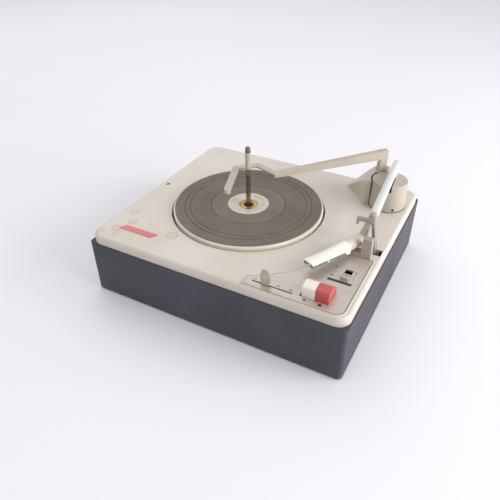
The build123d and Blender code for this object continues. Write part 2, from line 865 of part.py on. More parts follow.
rim_bottom = web_top - rim_depth
with BuildPart() as platter:
    with BuildSketch(at(platter_x, platter_y, rim_bottom)):
        Circle(platter_radius)
    extrude(amount=rim_lip + rim_depth)
    fillet(platter.faces().sort_by(Axis.Z)[-1].edges(), rim_round)
    with BuildSketch(at(platter_x, platter_y, web_top)):
        Circle(mat_radius)
    extrude(amount=mat_thickness, mode=Mode.SUBTRACT)
    with BuildSketch(at(platter_x, platter_y, rim_bottom)):
        Circle(rim_inner)
    extrude(amount=rim_depth - platter_web, mode=Mode.SUBTRACT)
    with BuildSketch(at(platter_x, platter_y, race_top)):
        Circle(hub_radius)
    extrude(amount=web_top - race_top)
    with BuildSketch(at(platter_x, platter_y, race_top)):
        Circle(bearing_radius + running_gap)
    extrude(amount=deck_top, mode=Mode.SUBTRACT)
finish(platter.part, "platter")

with BuildPart() as platter_mat:
    with BuildSketch(at(platter_x, platter_y, web_top)):
        Circle(mat_radius)
        Circle(mat_hole, mode=Mode.SUBTRACT)
    extrude(amount=mat_thickness)
    for radius in mat_groove_radii:
        with BuildSketch(at(platter_x, platter_y, mat_top - mat_groove)):
            Circle(radius + mat_groove / 2.0)
            Circle(radius - mat_groove / 2.0, mode=Mode.SUBTRACT)
        extrude(amount=mat_groove, mode=Mode.SUBTRACT)
finish(platter_mat.part, "platter_mat")

bead_radius = mat_hole - bead_inset
with BuildPart() as hub_cap:
    with BuildSketch(Plane(origin=(platter_x, platter_y, 0), x_dir=(1, 0, 0), z_dir=(0, -1, 0))):
        with BuildLine():
            Polyline((hub_opening, web_top), (mat_hole, web_top), (mat_hole, mat_top + hub_land),
                     (bead_radius + bead_half, mat_top + bead_skirt), (bead_radius, mat_top + bead_height),
                     (bead_radius - bead_half, mat_top + hub_land), (hub_opening + hub_sink, mat_top - hub_sink),
                     (hub_opening, mat_top - hub_sink), close=True)
        make_face()
    revolve(axis=Axis((platter_x, platter_y, 0), (0, 0, 1)))
finish(hub_cap.part, "hub_cap")

with BuildPart() as drive_pinion:
    with BuildSketch(at(platter_x, platter_y, cam_level)):
        Circle(pinion_radius - tooth_depth)
        with PolarLocations(pinion_radius - tooth_depth, pinion_teeth):
            Rectangle(2.0 * tooth_depth, tooth_width)
        Circle(hub_radius, mode=Mode.SUBTRACT)
    extrude(amount=pinion_height)
finish(drive_pinion.part, "drive_pinion")

with BuildPart() as cam_gear:
    with BuildSketch(at(cam_x, platter_y, cam_level)):
        Circle(cam_radius - tooth_depth)
        for number in range(cam_gap_teeth, cam_teeth - cam_gap_teeth + 1):
            with PolarLocations(cam_radius - tooth_depth, 1, start_angle=number * 360.0 / cam_teeth):
                Rectangle(2.0 * tooth_depth, tooth_width)
        with PolarLocations(cam_hole_ring, 3, start_angle=30.0):
            Circle(cam_hole_radius, mode=Mode.SUBTRACT)
    extrude(amount=cam_height)
    with BuildSketch(at(cam_x, platter_y, well_floor)):
        Circle(cam_post_radius)
    extrude(amount=cam_level - well_floor)
finish(cam_gear.part, "cam_gear")

# Motor
with BuildPart() as motor_core:
    with BuildSketch(at(motor_x, motor_y, core_bottom)):
        RectangleRounded(core_size, core_size, core_corner)
        Circle(rotor_radius + rotor_gap, mode=Mode.SUBTRACT)
    extrude(amount=core_height)
finish(motor_core.part, "motor_core")

coil_bottom = (core_top + core_bottom - coil_height) / 2.0
with BuildPart() as motor_coils:
    with BuildSketch(at(motor_x, motor_y, coil_bottom)):
        with GridLocations(core_size + coil_depth, 0, 2, 1):
            RectangleRounded(coil_depth, coil_length, coil_corner)
    extrude(amount=coil_height)
finish(motor_coils.part, "motor_coils")

plate_bottom = coil_bottom + coil_height + coil_clearance
plate_top = plate_bottom + bracket_sheet
lower_plate = core_bottom - bracket_drop
with BuildPart() as motor_brackets:
    with BuildSketch(at(0, 0, plate_bottom)):
        with Locations((motor_x, motor_y)):
            Circle(bracket_radius)
        with Locations(motor_screw_places()):
            Circle(grommet_radius + bracket_margin)
        with Locations((motor_x, motor_y)):
            Circle(motor_shaft + running_gap, mode=Mode.SUBTRACT)
    extrude(amount=bracket_sheet)
    with BuildSketch(at(motor_x, motor_y, core_top)):
        with GridLocations(core_size / 2.0, core_size / 2.0, 2, 2):
            Rectangle(bracket_leg, bracket_leg)
    extrude(amount=plate_bottom - core_top)
    with BuildSketch(at(motor_x, motor_y, lower_plate)):
        Rectangle(bracket_width, core_size - bracket_leg)
        Circle(motor_shaft + running_gap, mode=Mode.SUBTRACT)
    extrude(amount=bracket_sheet)
    with BuildSketch(at(motor_x, motor_y, lower_plate + bracket_sheet)):
        with GridLocations(0, core_size - 2.0 * bracket_leg, 1, 2):
            Rectangle(bracket_width, bracket_leg)
    extrude(amount=core_bottom - lower_plate - bracket_sheet)
finish(motor_brackets.part, "motor_brackets")

with BuildPart() as motor_grommets:
    for bottom, radius, height in ((plate_top, grommet_radius, floor_under - plate_top),
                                   (floor_under, grommet_neck, deck_sheet),
                                   (well_floor, grommet_radius, grommet_head)):
        with BuildSketch(at(0, 0, bottom)):
            with Locations(motor_screw_places()):
                Circle(radius)
        extrude(amount=height)
finish(motor_grommets.part, "motor_grommets")

shaft_bottom = lower_plate - shaft_overrun
shaft_top = step_base + 1.5 * step_height
with BuildPart() as motor_rotor:
    with BuildSketch(at(motor_x, motor_y, core_bottom)):
        Circle(rotor_radius)
    extrude(amount=core_height)
    with BuildSketch(at(motor_x, motor_y, shaft_bottom)):
        Circle(motor_shaft)
    extrude(amount=shaft_top - shaft_bottom)
finish(motor_rotor.part, "motor_rotor")

with BuildPart() as motor_pulley:
    for step, radius in enumerate(pulley_radii):
        with BuildSketch(at(motor_x, motor_y, step_base + step * step_height)):
            Circle(radius)
        extrude(amount=step_height)
    with BuildSketch(at(motor_x, motor_y, step_base)):
        Circle(motor_shaft)
    extrude(amount=shaft_top - step_base, mode=Mode.SUBTRACT)
finish(motor_pulley.part, "motor_pulley")

# Idler
tyre_bottom = wheel_level - tyre_height / 2.0
with BuildPart() as idler_tyre:
    with BuildSketch(at(idler_x, idler_y, tyre_bottom)):
        Circle(idler_radius)
        Circle(idler_disc, mode=Mode.SUBTRACT)
    extrude(amount=tyre_height)
finish(idler_tyre.part, "idler_tyre")

arm_sheet_top = arm_sheet_level + idler_arm_sheet
wheel_hub_bottom = arm_sheet_top + safe_gap
wheel_hub_top = wheel_level + tyre_height
with BuildPart() as idler_wheel:
    with BuildSketch(at(idler_x, idler_y, tyre_bottom)):
        Circle(idler_disc)
        with PolarLocations(idler_hole_ring, 3):
            Circle(idler_hole_radius, mode=Mode.SUBTRACT)
    extrude(amount=tyre_height)
    with BuildSketch(at(idler_x, idler_y, wheel_hub_bottom)):
        Circle(idler_hub)
    extrude(amount=wheel_hub_top - wheel_hub_bottom)
    with BuildSketch(at(idler_x, idler_y, wheel_hub_bottom)):
        Circle(idler_axle + running_gap)
    extrude(amount=deck_rise, mode=Mode.SUBTRACT)
finish(idler_wheel.part, "idler_wheel")

with BuildPart() as idler_arm:
    with BuildSketch(at((idler_x + idler_pivot_x) / 2.0, (idler_y + idler_pivot_y) / 2.0, arm_sheet_level)):
        SlotCenterToCenter(idler_arm_length, idler_arm_width, rotation=retract_angle)
    extrude(amount=idler_arm_sheet)
    with BuildSketch(at(idler_pivot_x, idler_pivot_y, arm_sheet_level)):
        Circle(idler_stud + running_gap)
    extrude(amount=idler_arm_sheet, mode=Mode.SUBTRACT)
    with BuildSketch(at(idler_x, idler_y, arm_sheet_top)):
        Circle(idler_axle)
    extrude(amount=wheel_hub_top + idler_overrun - arm_sheet_top)
finish(idler_arm.part, "idler_arm")

with BuildPart() as idler_spring:
    with BuildSketch(at(idler_pivot_x, idler_pivot_y, well_floor)):
        Circle(idler_arm_width / 2.0)
        Circle(idler_stud, mode=Mode.SUBTRACT)
    extrude(amount=arm_sheet_level - safe_gap - well_floor)
finish(idler_spring.part, "idler_spring")

# Under the deck: trip slide, switch and terminals
with BuildPart() as trip_slide:
    with BuildSketch(at(trip_x, trip_y, deck_under)):
        SlotOverall(trip_length, trip_width)
        with GridLocations(trip_slot_pitch, 0, 2, 1):
            SlotOverall(trip_width, trip_slot_width, mode=Mode.SUBTRACT)
    extrude(amount=-trip_sheet)
finish(trip_slide.part, "trip_slide")

with BuildPart() as power_switch:
    with BuildSketch(at(switch_x, switch_y, deck_under)):
        RectangleRounded(switch_width, switch_length, coil_corner)
    extrude(amount=-switch_height)
finish(power_switch.part, "power_switch")

with BuildPart() as terminal_strip:
    with BuildSketch(at(gland_x, inner_depth / 2.0 - terminal_inset, case_bottom + board_thickness)):
        Rectangle(terminal_length, terminal_depth)
    extrude(amount=terminal_height)
finish(terminal_strip.part, "terminal_strip")

# Turret and tonearm
yoke_level = pin_level - yoke_drop
turret_slope = math.tan(math.radians(turret_draft))
yoke_radius = turret_radius - turret_wall - (yoke_level - deck_top - turret_gap) * turret_slope
cheek_centre = (cheek_gap + cheek_thickness) / 2.0


def arm_plane(level):
    """A level plane at the pivot, with X along the arm."""
    return Plane(origin=(pivot_x, pivot_y, level), x_dir=along_arm, z_dir=(0, 0, 1))


with BuildPart() as arm_bearing:
    with BuildSketch(at(pivot_x, pivot_y, deck_under - bearing_reach)):
        Circle(pillar_radius + pillar_wall)
    extrude(amount=bearing_reach + deck_sheet)
    with BuildSketch(at(pivot_x, pivot_y, deck_under)):
        Circle(pillar_radius + bearing_flange)
    extrude(amount=-bearing_flange_height)
    with BuildSketch(at(pivot_x, pivot_y, deck_under - bearing_reach)):
        Circle(pillar_radius + running_gap)
    extrude(amount=bearing_reach + deck_rise, mode=Mode.SUBTRACT)
finish(arm_bearing.part, "arm_bearing")

with BuildPart() as arm_pillar:
    with BuildSketch(at(pivot_x, pivot_y, deck_top - pillar_reach)):
        Circle(pillar_radius)
    extrude(amount=yoke_level - deck_top + pillar_reach)
    with BuildSketch(at(pivot_x, pivot_y, yoke_level)):
        Circle(yoke_radius)
    extrude(amount=yoke_plate, taper=turret_draft)
    with BuildSketch(arm_plane(yoke_level + yoke_plate)):
        with GridLocations(0, 2.0 * cheek_centre, 1, 2):
            Rectangle(block_length, cheek_thickness)
    extrude(amount=pin_level + cheek_reach - yoke_level - yoke_plate)
    with BuildSketch(facing(pin_centre, across_arm)):
        Circle(pin_radius)
    extrude(amount=turret_radius, both=True, mode=Mode.SUBTRACT)
finish(arm_pillar.part, "arm_pillar")

slot_bottom = arm_level - tube_radius - slot_depth_under_arm
with BuildPart() as turret_shell:
    with BuildSketch(at(pivot_x, pivot_y, deck_top + turret_gap)):
        Circle(turret_radius)
    extrude(amount=turret_height - turret_gap, taper=turret_draft)
    fillet(turret_shell.faces().sort_by(Axis.Z)[-1].edges(), turret_round)
    with BuildSketch(at(pivot_x, pivot_y, deck_top + turret_gap)):
        Circle(turret_radius - turret_wall)
    extrude(amount=turret_height - turret_gap - turret_wall, taper=turret_draft, mode=Mode.SUBTRACT)
    with BuildSketch(arm_plane(slot_bottom)):
        Rectangle(2.0 * turret_radius, slot_width)
    extrude(amount=turret_height, mode=Mode.SUBTRACT)
finish(turret_shell.part, "turret_shell")

with BuildPart() as pivot_pin:
    with BuildSketch(facing(pin_centre, across_arm)):
        Circle(pin_radius)
    extrude(amount=cheek_gap / 2.0 + cheek_thickness, both=True)
finish(pivot_pin.part, "pivot_pin")

block_half = cheek_gap / 2.0 - safe_gap
with BuildPart() as pivot_block:
    with BuildSketch(arm_plane(pin_level - block_reach_down)):
        Rectangle(block_length, 2.0 * block_half)
    extrude(amount=block_reach_down + block_reach_up)
    with BuildSketch(arm_plane(pin_level + block_reach_up)):
        Rectangle(block_length, 2.0 * tube_radius + block_margin_sides)
    extrude(amount=pivot_drop - block_top_drop - block_reach_up)
    with BuildSketch(facing(arm_root, along_arm)):
        Circle(tube_radius)
    extrude(amount=arm_front, both=True, mode=Mode.SUBTRACT)
    with BuildSketch(facing(pin_centre, across_arm)):
        Circle(pin_radius + running_gap)
    extrude(amount=turret_radius, both=True, mode=Mode.SUBTRACT)
finish(pivot_block.part, "pivot_block")

tube_start = arm_root - along_arm * arm_rear
bore_start = tube_start + along_arm * tube_end
tube_bore = tube_radius - tube_wall
with BuildPart() as arm_tube:
    with BuildSketch(facing(tube_start, along_arm)):
        Circle(tube_radius)
    extrude(amount=arm_rear + arm_front)
    fillet(arm_tube.faces().sort_by(Axis.Y)[-1].edges(), tube_round)
    with BuildSketch(facing(bore_start, along_arm)):
        Circle(tube_bore)
    extrude(amount=arm_rear + arm_front, mode=Mode.SUBTRACT)
finish(arm_tube.part, "arm_tube")

with BuildPart() as counterweight:
    with BuildSketch(facing(bore_start, along_arm)):
        Circle(tube_bore)
    extrude(amount=weight_length)
finish(counterweight.part, "counterweight")


def limb(stations):
    """A bent limb through round stations, each a centre and a radius."""
    with BuildPart() as piece:
        for (start, first_radius), (end, last_radius) in zip(stations, stations[1:]):
            with BuildSketch(facing(start, end - start)):
                Circle(first_radius)
            with BuildSketch(facing(end, end - start)):
                Circle(last_radius)
            loft()
        for centre, radius in stations[1:-1]:
            with Locations(centre):
                Sphere(radius)
    return piece.part


head_tail = Vector(head_tail_x, head_tail_y, collar_level)
collar_back = head_tail - along_head * collar_length
elbow_bend = Vector(collar_back.X + elbow_side, collar_back.Y + elbow_back, arm_level - elbow_drop)
with BuildPart() as arm_collar:
    with BuildSketch(facing(head_tail, -along_head)):
        Circle(collar_radius)
    extrude(amount=collar_length)
    fillet(arm_collar.edges().filter_by(GeomType.CIRCLE), collar_round)
finish(arm_collar.part, "arm_collar")

tube_tip = arm_root + along_arm * arm_front
elbow_run = limb([(tube_tip, elbow_top_radius), (elbow_bend, elbow_radius), (collar_back, elbow_foot_radius)])
with BuildPart() as arm_elbow:
    add(elbow_run)
    with Locations(tube_tip):
        Sphere(tube_radius)
    add(arm_collar.part, mode=Mode.SUBTRACT)
    with BuildSketch(facing(tube_tip, -along_arm)):
        Circle(tube_radius + running_gap)
    extrude(amount=2.0 * tube_radius, mode=Mode.SUBTRACT)
finish(arm_elbow.part, "arm_elbow")

shell_level = deck_top + shell_bottom


def head_plane(level):
    """A level plane at the head's tail, with X along the head."""
    return Plane(origin=(head_tail_x, head_tail_y, level), x_dir=along_head, z_dir=(0, 0, 1))


def head_outline(inset):
    """The edges of the head shell's outline from above."""
    tail = shell_tail_width / 2.0 - inset
    nose = shell_width / 2.0 - inset
    front = shell_length - inset
    with BuildLine() as outline:
        Polyline((inset, -tail), (front, -nose), (front, nose), (inset, tail), close=True)
    return outline.edges()


def head_section(half_width, side, crown):
    """The edges of the head shell's section, with a crown over upright sides."""
    with BuildLine() as section:
        ThreePointArc((half_width, side), (0, crown), (-half_width, side))
        Polyline((-half_width, side), (-half_width, -heel_drop), (half_width, -heel_drop), (half_width, side))
    return section.edges()


def beside_head():
    """An upright plane along the middle of the head, with X along it and Y up."""
    return Plane(origin=head_plane(shell_level).origin, x_dir=along_head, z_dir=-across_head)


across_head = Vector(-along_head.Y, along_head.X, 0)
tail_point = Vector(head_tail_x, head_tail_y, shell_level)
nose_point = tail_point + along_head * shell_length
tail_half = shell_tail_width / 2.0
with BuildPart() as head_shell:
    with BuildSketch(facing(tail_point, along_head)):
        make_face(head_section(tail_half, shell_crown - tail_half, shell_crown))
    with BuildSketch(facing(nose_point, along_head)):
        make_face(head_section(shell_width / 2.0, nose_side, nose_height))
    loft()
    with BuildSketch(beside_head()):
        with BuildLine():
            Polyline((heel_length, -heel_drop), (strip_start, strip_lift), (shell_length, nose_lift),
                     (shell_length, -heel_drop), close=True)
        make_face()
    extrude(amount=shell_width, both=True, mode=Mode.SUBTRACT)
    with BuildSketch(head_plane(shell_level - heel_drop)):
        make_face(head_outline(shell_wall))
    extrude(amount=heel_drop + nose_side - shell_wall, mode=Mode.SUBTRACT)
finish(head_shell.part, "head_shell")

stylus_level = shell_level - stylus_drop
cartridge_bottom = shell_level - cartridge_drop
cartridge_half = cartridge_width / 2.0
tip_place = shell_length - stylus_back
lever_start = tab_place - lever_lead
lever_plane = facing(Vector(head_tail_x, head_tail_y, stylus_level), along_head)
cartridge_end = cartridge_start + cartridge_length


def strip_level(place):
    """The height of the head shell's lower edge at a place along it."""
    share = (place - strip_start) / (shell_length - strip_start)
    return strip_lift + (nose_lift - strip_lift) * share


with BuildPart() as cartridge:
    with BuildSketch(head_plane(cartridge_bottom)):
        rectangle_between(cartridge_start, shell_length - shell_wall - running_gap, -cartridge_half, cartridge_half)
    extrude(amount=cartridge_drop + nose_side - shell_wall)
    with BuildSketch(beside_head()):
        with BuildLine():
            Polyline((cartridge_start, -cartridge_drop), (cartridge_end, -cartridge_drop),
                     (cartridge_end, strip_level(cartridge_end)), (cartridge_start, strip_level(cartridge_start)),
                     close=True)
        make_face()
    extrude(amount=strip_width / 2.0, both=True)
    with BuildSketch(lever_plane.offset(lever_start)):
        Circle(lever_radius + 2.0 * running_gap)
    extrude(amount=shell_length, mode=Mode.SUBTRACT)
    with BuildSketch(lever_plane.offset(tip_place - tip_recess)):
        Circle(tip_reach + safe_gap)
    extrude(amount=shell_length, mode=Mode.SUBTRACT)
    with BuildSketch(head_plane(cartridge_bottom)):
        rectangle_between(tab_place - safe_gap, tab_place + tab_length + safe_gap, -tab_reach, tab_reach)
    extrude(amount=2.0 * (cartridge_drop - stylus_drop), mode=Mode.SUBTRACT)
finish(cartridge.part, "cartridge")

with BuildPart() as stylus_lever:
    with BuildSketch(lever_plane.offset(lever_start)):
        Circle(lever_radius)
    extrude(amount=tip_place + stylus_tail - lever_start)
    with BuildSketch(head_plane(stylus_level - tab_thickness / 2.0)):
        rectangle_between(tab_place, tab_place + tab_length, 0, tab_reach)
    extrude(amount=tab_thickness)
    for way in (1.0, -1.0):
        with BuildSketch(head_plane(stylus_level)):
            with Locations((tip_place, 0)):
                Circle(stylus_point)
        extrude(amount=way * tip_reach, taper=stylus_taper)
finish(stylus_lever.part, "stylus_lever")

# Fairing beside the turret
ring = turret_radius + turret_gap


tip_angle = math.degrees(math.acos((fairing_tip_x - platter_x) / fairing_arc))
tip_point = around_platter(fairing_arc, tip_angle)
corner_point = around_platter(fairing_arc, fairing_corner_angle)
fairing_right = pivot_x - fairing_right_reach
cut_left = fairing_tip_x - fairing_cut_margin
with BuildPart() as turret_fairing:
    with BuildSketch(at(0, 0, deck_top)):
        with BuildLine():
            ThreePointArc(tip_point, around_platter(fairing_arc, (tip_angle + fairing_corner_angle) / 2.0),
                          corner_point)
            Polyline(corner_point, (pivot_x, pivot_y), (fairing_right, pivot_y), (fairing_right, fairing_back),
                     (fairing_shoulder_x, fairing_back), tip_point)
        make_face()
        with Locations((pivot_x, pivot_y)):
            Circle(ring, mode=Mode.SUBTRACT)
    extrude(amount=turret_height)
    with BuildSketch(Plane(origin=(0, case_depth, 0), x_dir=(1, 0, 0), z_dir=(0, -1, 0))):
        with BuildLine():
            Polyline((cut_left, deck_top + fairing_tip_height - fairing_cut_margin * fairing_slope),
                     (fairing_slope_end, roof_level), (fairing_slope_end, roof_level + fairing_cut_margin),
                     (cut_left, roof_level + fairing_cut_margin), close=True)
        make_face()
    extrude(amount=case_depth, mode=Mode.SUBTRACT)
    with BuildSketch(at(post_x, post_y, deck_top)):
        Circle(shaft_radius + running_gap)
    extrude(amount=turret_height, mode=Mode.SUBTRACT)
finish(turret_fairing.part, "turret_fairing")

# Overarm
shaft_bottom_level = deck_top - shaft_tail
post_top = roof_level + post_height
shaft_top_level = post_top - shaft_sunk
with BuildPart() as overarm_bush:
    with BuildSketch(at(post_x, post_y, deck_under - bush_reach)):
        Circle(bush_radius)
    extrude(amount=bush_reach + deck_sheet)
    with BuildSketch(at(post_x, post_y, deck_under)):
        Circle(bush_flange_radius)
    extrude(amount=-bush_flange_height)
    with BuildSketch(at(post_x, post_y, deck_under - bush_reach)):
        Circle(shaft_radius + running_gap)
    extrude(amount=bush_reach + deck_rise, mode=Mode.SUBTRACT)
finish(overarm_bush.part, "overarm_bush")

with BuildPart() as overarm_shaft:
    with BuildSketch(at(post_x, post_y, shaft_bottom_level)):
        Circle(shaft_radius)
    extrude(amount=shaft_top_level - shaft_bottom_level)
    with BuildSketch(at(post_x, post_y, shaft_bottom_level)):
        Circle(shaft_ring_radius)
    extrude(amount=shaft_ring_height)
finish(overarm_shaft.part, "overarm_shaft")

hook_top = deck_top + hook_height
bend_a, bend_b, bend_c, bend_tip = [Vector(x, y, 0) for x, y in hook_bends]
post_foot = Vector(post_x, post_y, 0)
along_beam = (bend_a - post_foot).normalized()
beam_start = post_foot + Vector(0, 0, post_top - beam_depth / 2.0)
beam_end = bend_a + Vector(0, 0, hook_top - beam_end_depth / 2.0)
gusset_corner = post_foot + along_beam * (post_length / 2.0) + Vector(0, 0, post_top - beam_depth)
with BuildPart() as overarm_beam:
    with BuildSketch(Plane(origin=(post_x, post_y, roof_level + safe_gap), x_dir=along_beam, z_dir=(0, 0, 1))):
        Rectangle(post_length, post_size)
    extrude(amount=post_height - safe_gap)
    with BuildSketch(facing(beam_start, along_beam)):
        Rectangle(post_size, beam_depth)
    with BuildSketch(facing(beam_end, along_beam)):
        Rectangle(beam_end_width, beam_end_depth)
    loft()
    with BuildSketch(Plane(origin=gusset_corner, x_dir=along_beam, z_dir=Vector(0, 0, 1).cross(along_beam))):
        with BuildLine():
            Polyline((0, beam_depth / 2.0), (0, -gusset_reach), (gusset_reach, 0), close=True)
        make_face()
    extrude(amount=beam_end_width / 2.0, both=True)
    with BuildSketch(at(post_x, post_y, roof_level)):
        Circle(shaft_radius + running_gap)
    extrude(amount=shaft_top_level + shaft_clearance - roof_level, mode=Mode.SUBTRACT)
finish(overarm_beam.part, "overarm_beam")

with BuildPart() as overarm_hook:
    for start, end in ((bend_a, bend_b), (bend_b, bend_c), (bend_c, bend_tip)):
        middle = (start + end) / 2.0
        span = end - start
        with BuildSketch(at(middle.X, middle.Y, hook_top - hook_sheet)):
            SlotCenterToCenter(span.length, hook_width, rotation=math.degrees(math.atan2(span.Y, span.X)))
        extrude(amount=hook_sheet)
    with BuildSketch(at(bend_tip.X, bend_tip.Y, hook_top - hook_sheet)):
        Circle(hook_width / 2.0)
        Circle(hook_width / 2.0 - hook_lip_wall, mode=Mode.SUBTRACT)
        Rectangle(hook_width, hook_width, align=(Align.CENTER, Align.MIN), mode=Mode.SUBTRACT)
    extrude(amount=-hook_lip)
    add(overarm_beam.part, mode=Mode.SUBTRACT)
finish(overarm_hook.part, "overarm_hook")
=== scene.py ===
import math

import bmesh
import bpy
from mathutils import Matrix, Vector


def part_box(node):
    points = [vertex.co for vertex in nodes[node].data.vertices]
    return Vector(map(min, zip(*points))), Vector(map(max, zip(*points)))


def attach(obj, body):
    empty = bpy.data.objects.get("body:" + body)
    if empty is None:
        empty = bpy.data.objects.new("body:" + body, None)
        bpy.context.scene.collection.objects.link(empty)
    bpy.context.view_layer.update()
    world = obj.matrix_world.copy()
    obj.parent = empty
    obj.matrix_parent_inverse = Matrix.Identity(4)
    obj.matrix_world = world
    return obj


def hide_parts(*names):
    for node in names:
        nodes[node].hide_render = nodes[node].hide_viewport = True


# The looks of a record changer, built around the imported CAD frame. Metres, +Z up, +Y to the back.

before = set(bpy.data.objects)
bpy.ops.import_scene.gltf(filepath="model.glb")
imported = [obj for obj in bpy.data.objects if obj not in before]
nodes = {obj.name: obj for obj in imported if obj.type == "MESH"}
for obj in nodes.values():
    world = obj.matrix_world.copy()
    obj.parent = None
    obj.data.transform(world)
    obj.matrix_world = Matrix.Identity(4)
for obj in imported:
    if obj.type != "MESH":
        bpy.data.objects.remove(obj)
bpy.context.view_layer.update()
mm = 0.001


def middle(node):
    """The middle of a CAD node's box."""
    low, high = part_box(node)
    return (low + high) / 2.0


# Places taken from the frame
deck_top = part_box("deck_plate")[1].z
panel_low, panel_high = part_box("control_panel")
panel_top = panel_high.z
mat_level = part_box("platter_mat")[0].z
platter_axis = middle("platter_mat")
platter_axis.z = 0.0
turret_axis = middle("turret_shell")
turret_low, turret_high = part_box("turret_shell")
turret_radius = (turret_high.x - turret_low.x) / 2.0


# Materials
class Paint:
    """One node material, put together step by step."""

    def __init__(self, name, roughness, metallic=0.0, coat=0.0):
        self.material = bpy.data.materials.new(name)
        self.material.use_nodes = True
        self.tree = self.material.node_tree
        self.shader = self.tree.nodes["Principled BSDF"]
        self.shader.inputs["Roughness"].default_value = roughness
        self.shader.inputs["Metallic"].default_value = metallic
        self.shader.inputs["Coat Weight"].default_value = coat
        place = self.add("ShaderNodeTexCoord")
        self.place = place.outputs["Object"]

    def add(self, kind, **settings):
        """A new node with its settings."""
        node = self.tree.nodes.new(kind)
        for key, value in settings.items():
            setattr(node, key, value)
        return node

    def join(self, source, target):
        self.tree.links.new(source, target)

    def stretched(self, scale):
        """Coordinates in metres, stretched by a factor per axis."""
        mapping = self.add("ShaderNodeMapping")
        mapping.inputs["Scale"].default_value = scale
        self.join(self.place, mapping.inputs["Vector"])
        return mapping.outputs["Vector"]

    def noise(self, scale, detail=3.0, stretch=(1.0, 1.0, 1.0), roughness=0.5):
        """A noise value from 0 to 1, with the scale in waves per metre."""
        node = self.add("ShaderNodeTexNoise")
        node.inputs["Scale"].default_value = scale
        node.inputs["Detail"].default_value = detail
        node.inputs["Roughness"].default_value = roughness
        self.join(self.stretched(stretch), node.inputs["Vector"])
        return node.outputs["Fac"]

    def cells(self, scale, feature="F1"):
        """Distances in a cell pattern."""
        node = self.add("ShaderNodeTexVoronoi", feature=feature)
        node.inputs["Scale"].default_value = scale
        self.join(self.place, node.inputs["Vector"])
        return node.outputs["Distance"]

    def sharpen(self, value, low, high):
        """A value stretched so that low becomes 0 and high becomes 1."""
        node = self.add("ShaderNodeMapRange")
        node.inputs["From Min"].default_value = low
        node.inputs["From Max"].default_value = high
        self.join(value, node.inputs["Value"])
        return node.outputs["Result"]

    def ranged(self, value, low, high):
        """A value from 0 to 1 brought between two limits."""
        node = self.add("ShaderNodeMapRange")
        node.inputs["To Min"].default_value = low
        node.inputs["To Max"].default_value = high
        self.join(value, node.inputs["Value"])
        return node.outputs["Result"]

    def maths(self, operation, first, second):
        """One sum of two values, each a number or a socket."""
        node = self.add("ShaderNodeMath", operation=operation)
        for number, value in enumerate((first, second)):
            if isinstance(value, (int, float)):
                node.inputs[number].default_value = value
            else:
                self.join(value, node.inputs[number])
        return node.outputs["Value"]

    def colour(self, value):
        """A plain colour as a socket."""
        node = self.add("ShaderNodeRGB")
        node.outputs[0].default_value = (*value, 1.0)
        return node.outputs[0]

    def mix(self, factor, first, second):
        """A colour between two, each a triple or a socket."""
        node = self.add("ShaderNodeMix", data_type="RGBA")
        for name, value in (("A", first), ("B", second)):
            socket = [s for s in node.inputs if s.name == name and s.type == "RGBA"][0]
            if isinstance(value, tuple):
                socket.default_value = (*value, 1.0)
            else:
                self.join(value, socket)
        if isinstance(factor, (int, float)):
            node.inputs["Factor"].default_value = factor
        else:
            self.join(factor, node.inputs["Factor"])
        return [s for s in node.outputs if s.type == "RGBA"][0]

    def reach(self, x, y):
        """The plan distance from a point."""
        flat = self.stretched((1.0, 1.0, 0.0))
        node = self.add("ShaderNodeVectorMath", operation="DISTANCE")
        node.inputs[1].default_value = (x, y, 0.0)
        self.join(flat, node.inputs[0])
        return node.outputs["Value"]

    def tint(self, socket):
        self.join(socket, self.shader.inputs["Base Color"])

    def gloss(self, socket):
        self.join(socket, self.shader.inputs["Roughness"])

    def bump(self, *layers):
        """Bump layers, each a height socket with its strength and its depth in metres."""
        last = None
        for height, strength, depth in layers:
            node = self.add("ShaderNodeBump")
            node.inputs["Strength"].default_value = strength
            node.inputs["Distance"].default_value = depth
            self.join(height, node.inputs["Height"])
            if last is not None:
                self.join(last, node.inputs["Normal"])
            last = node.outputs["Normal"]
        self.join(last, self.shader.inputs["Normal"])


def shade(red, green, blue):
    """A colour as it is seen, in linear light."""
    def linear(value):
        value = value / 255.0
        return value / 12.92 if value <= 0.04045 else ((value + 0.055) / 1.055) ** 2.4
    return (linear(red), linear(green), linear(blue))


def moulded(name, light, dark, roughness=0.38, coat=0.15, grain=900.0):
    """Moulded plastic or enamel with a faint cloudiness, fine texture and handling marks."""
    paint = Paint(name, roughness, coat=coat)
    clouds = paint.noise(14.0, 4.0)
    specks = paint.sharpen(paint.noise(320.0, 2.0), 0.66, 0.76)
    body = paint.mix(paint.sharpen(clouds, 0.3, 0.7), light, dark)
    paint.tint(paint.mix(paint.maths("MULTIPLY", specks, 0.18), body, tuple(c * 0.55 for c in dark)))
    paint.gloss(paint.ranged(paint.noise(40.0, 5.0), roughness - 0.07, roughness + 0.12))
    paint.bump((paint.noise(grain, 2.0), 0.12, 0.0002), (paint.noise(30.0, 2.0), 0.08, 0.0006))
    return paint.material


def turned_metal(name, light, dark, roughness=0.3, streak=(40.0, 40.0, 900.0)):
    """Metal with fine tool marks."""
    paint = Paint(name, roughness, metallic=1.0)
    marks = paint.noise(3.0, 4.0, stretch=streak)
    stain = paint.noise(90.0, 4.0)
    body = paint.mix(paint.sharpen(marks, 0.3, 0.7), light, dark)
    paint.tint(paint.mix(paint.maths("MULTIPLY", paint.sharpen(stain, 0.55, 0.75), 0.5), body,
                         tuple(c * 0.5 for c in dark)))
    paint.gloss(paint.ranged(marks, roughness - 0.08, roughness + 0.15))
    paint.bump((marks, 0.15, 0.0001))
    return paint.material


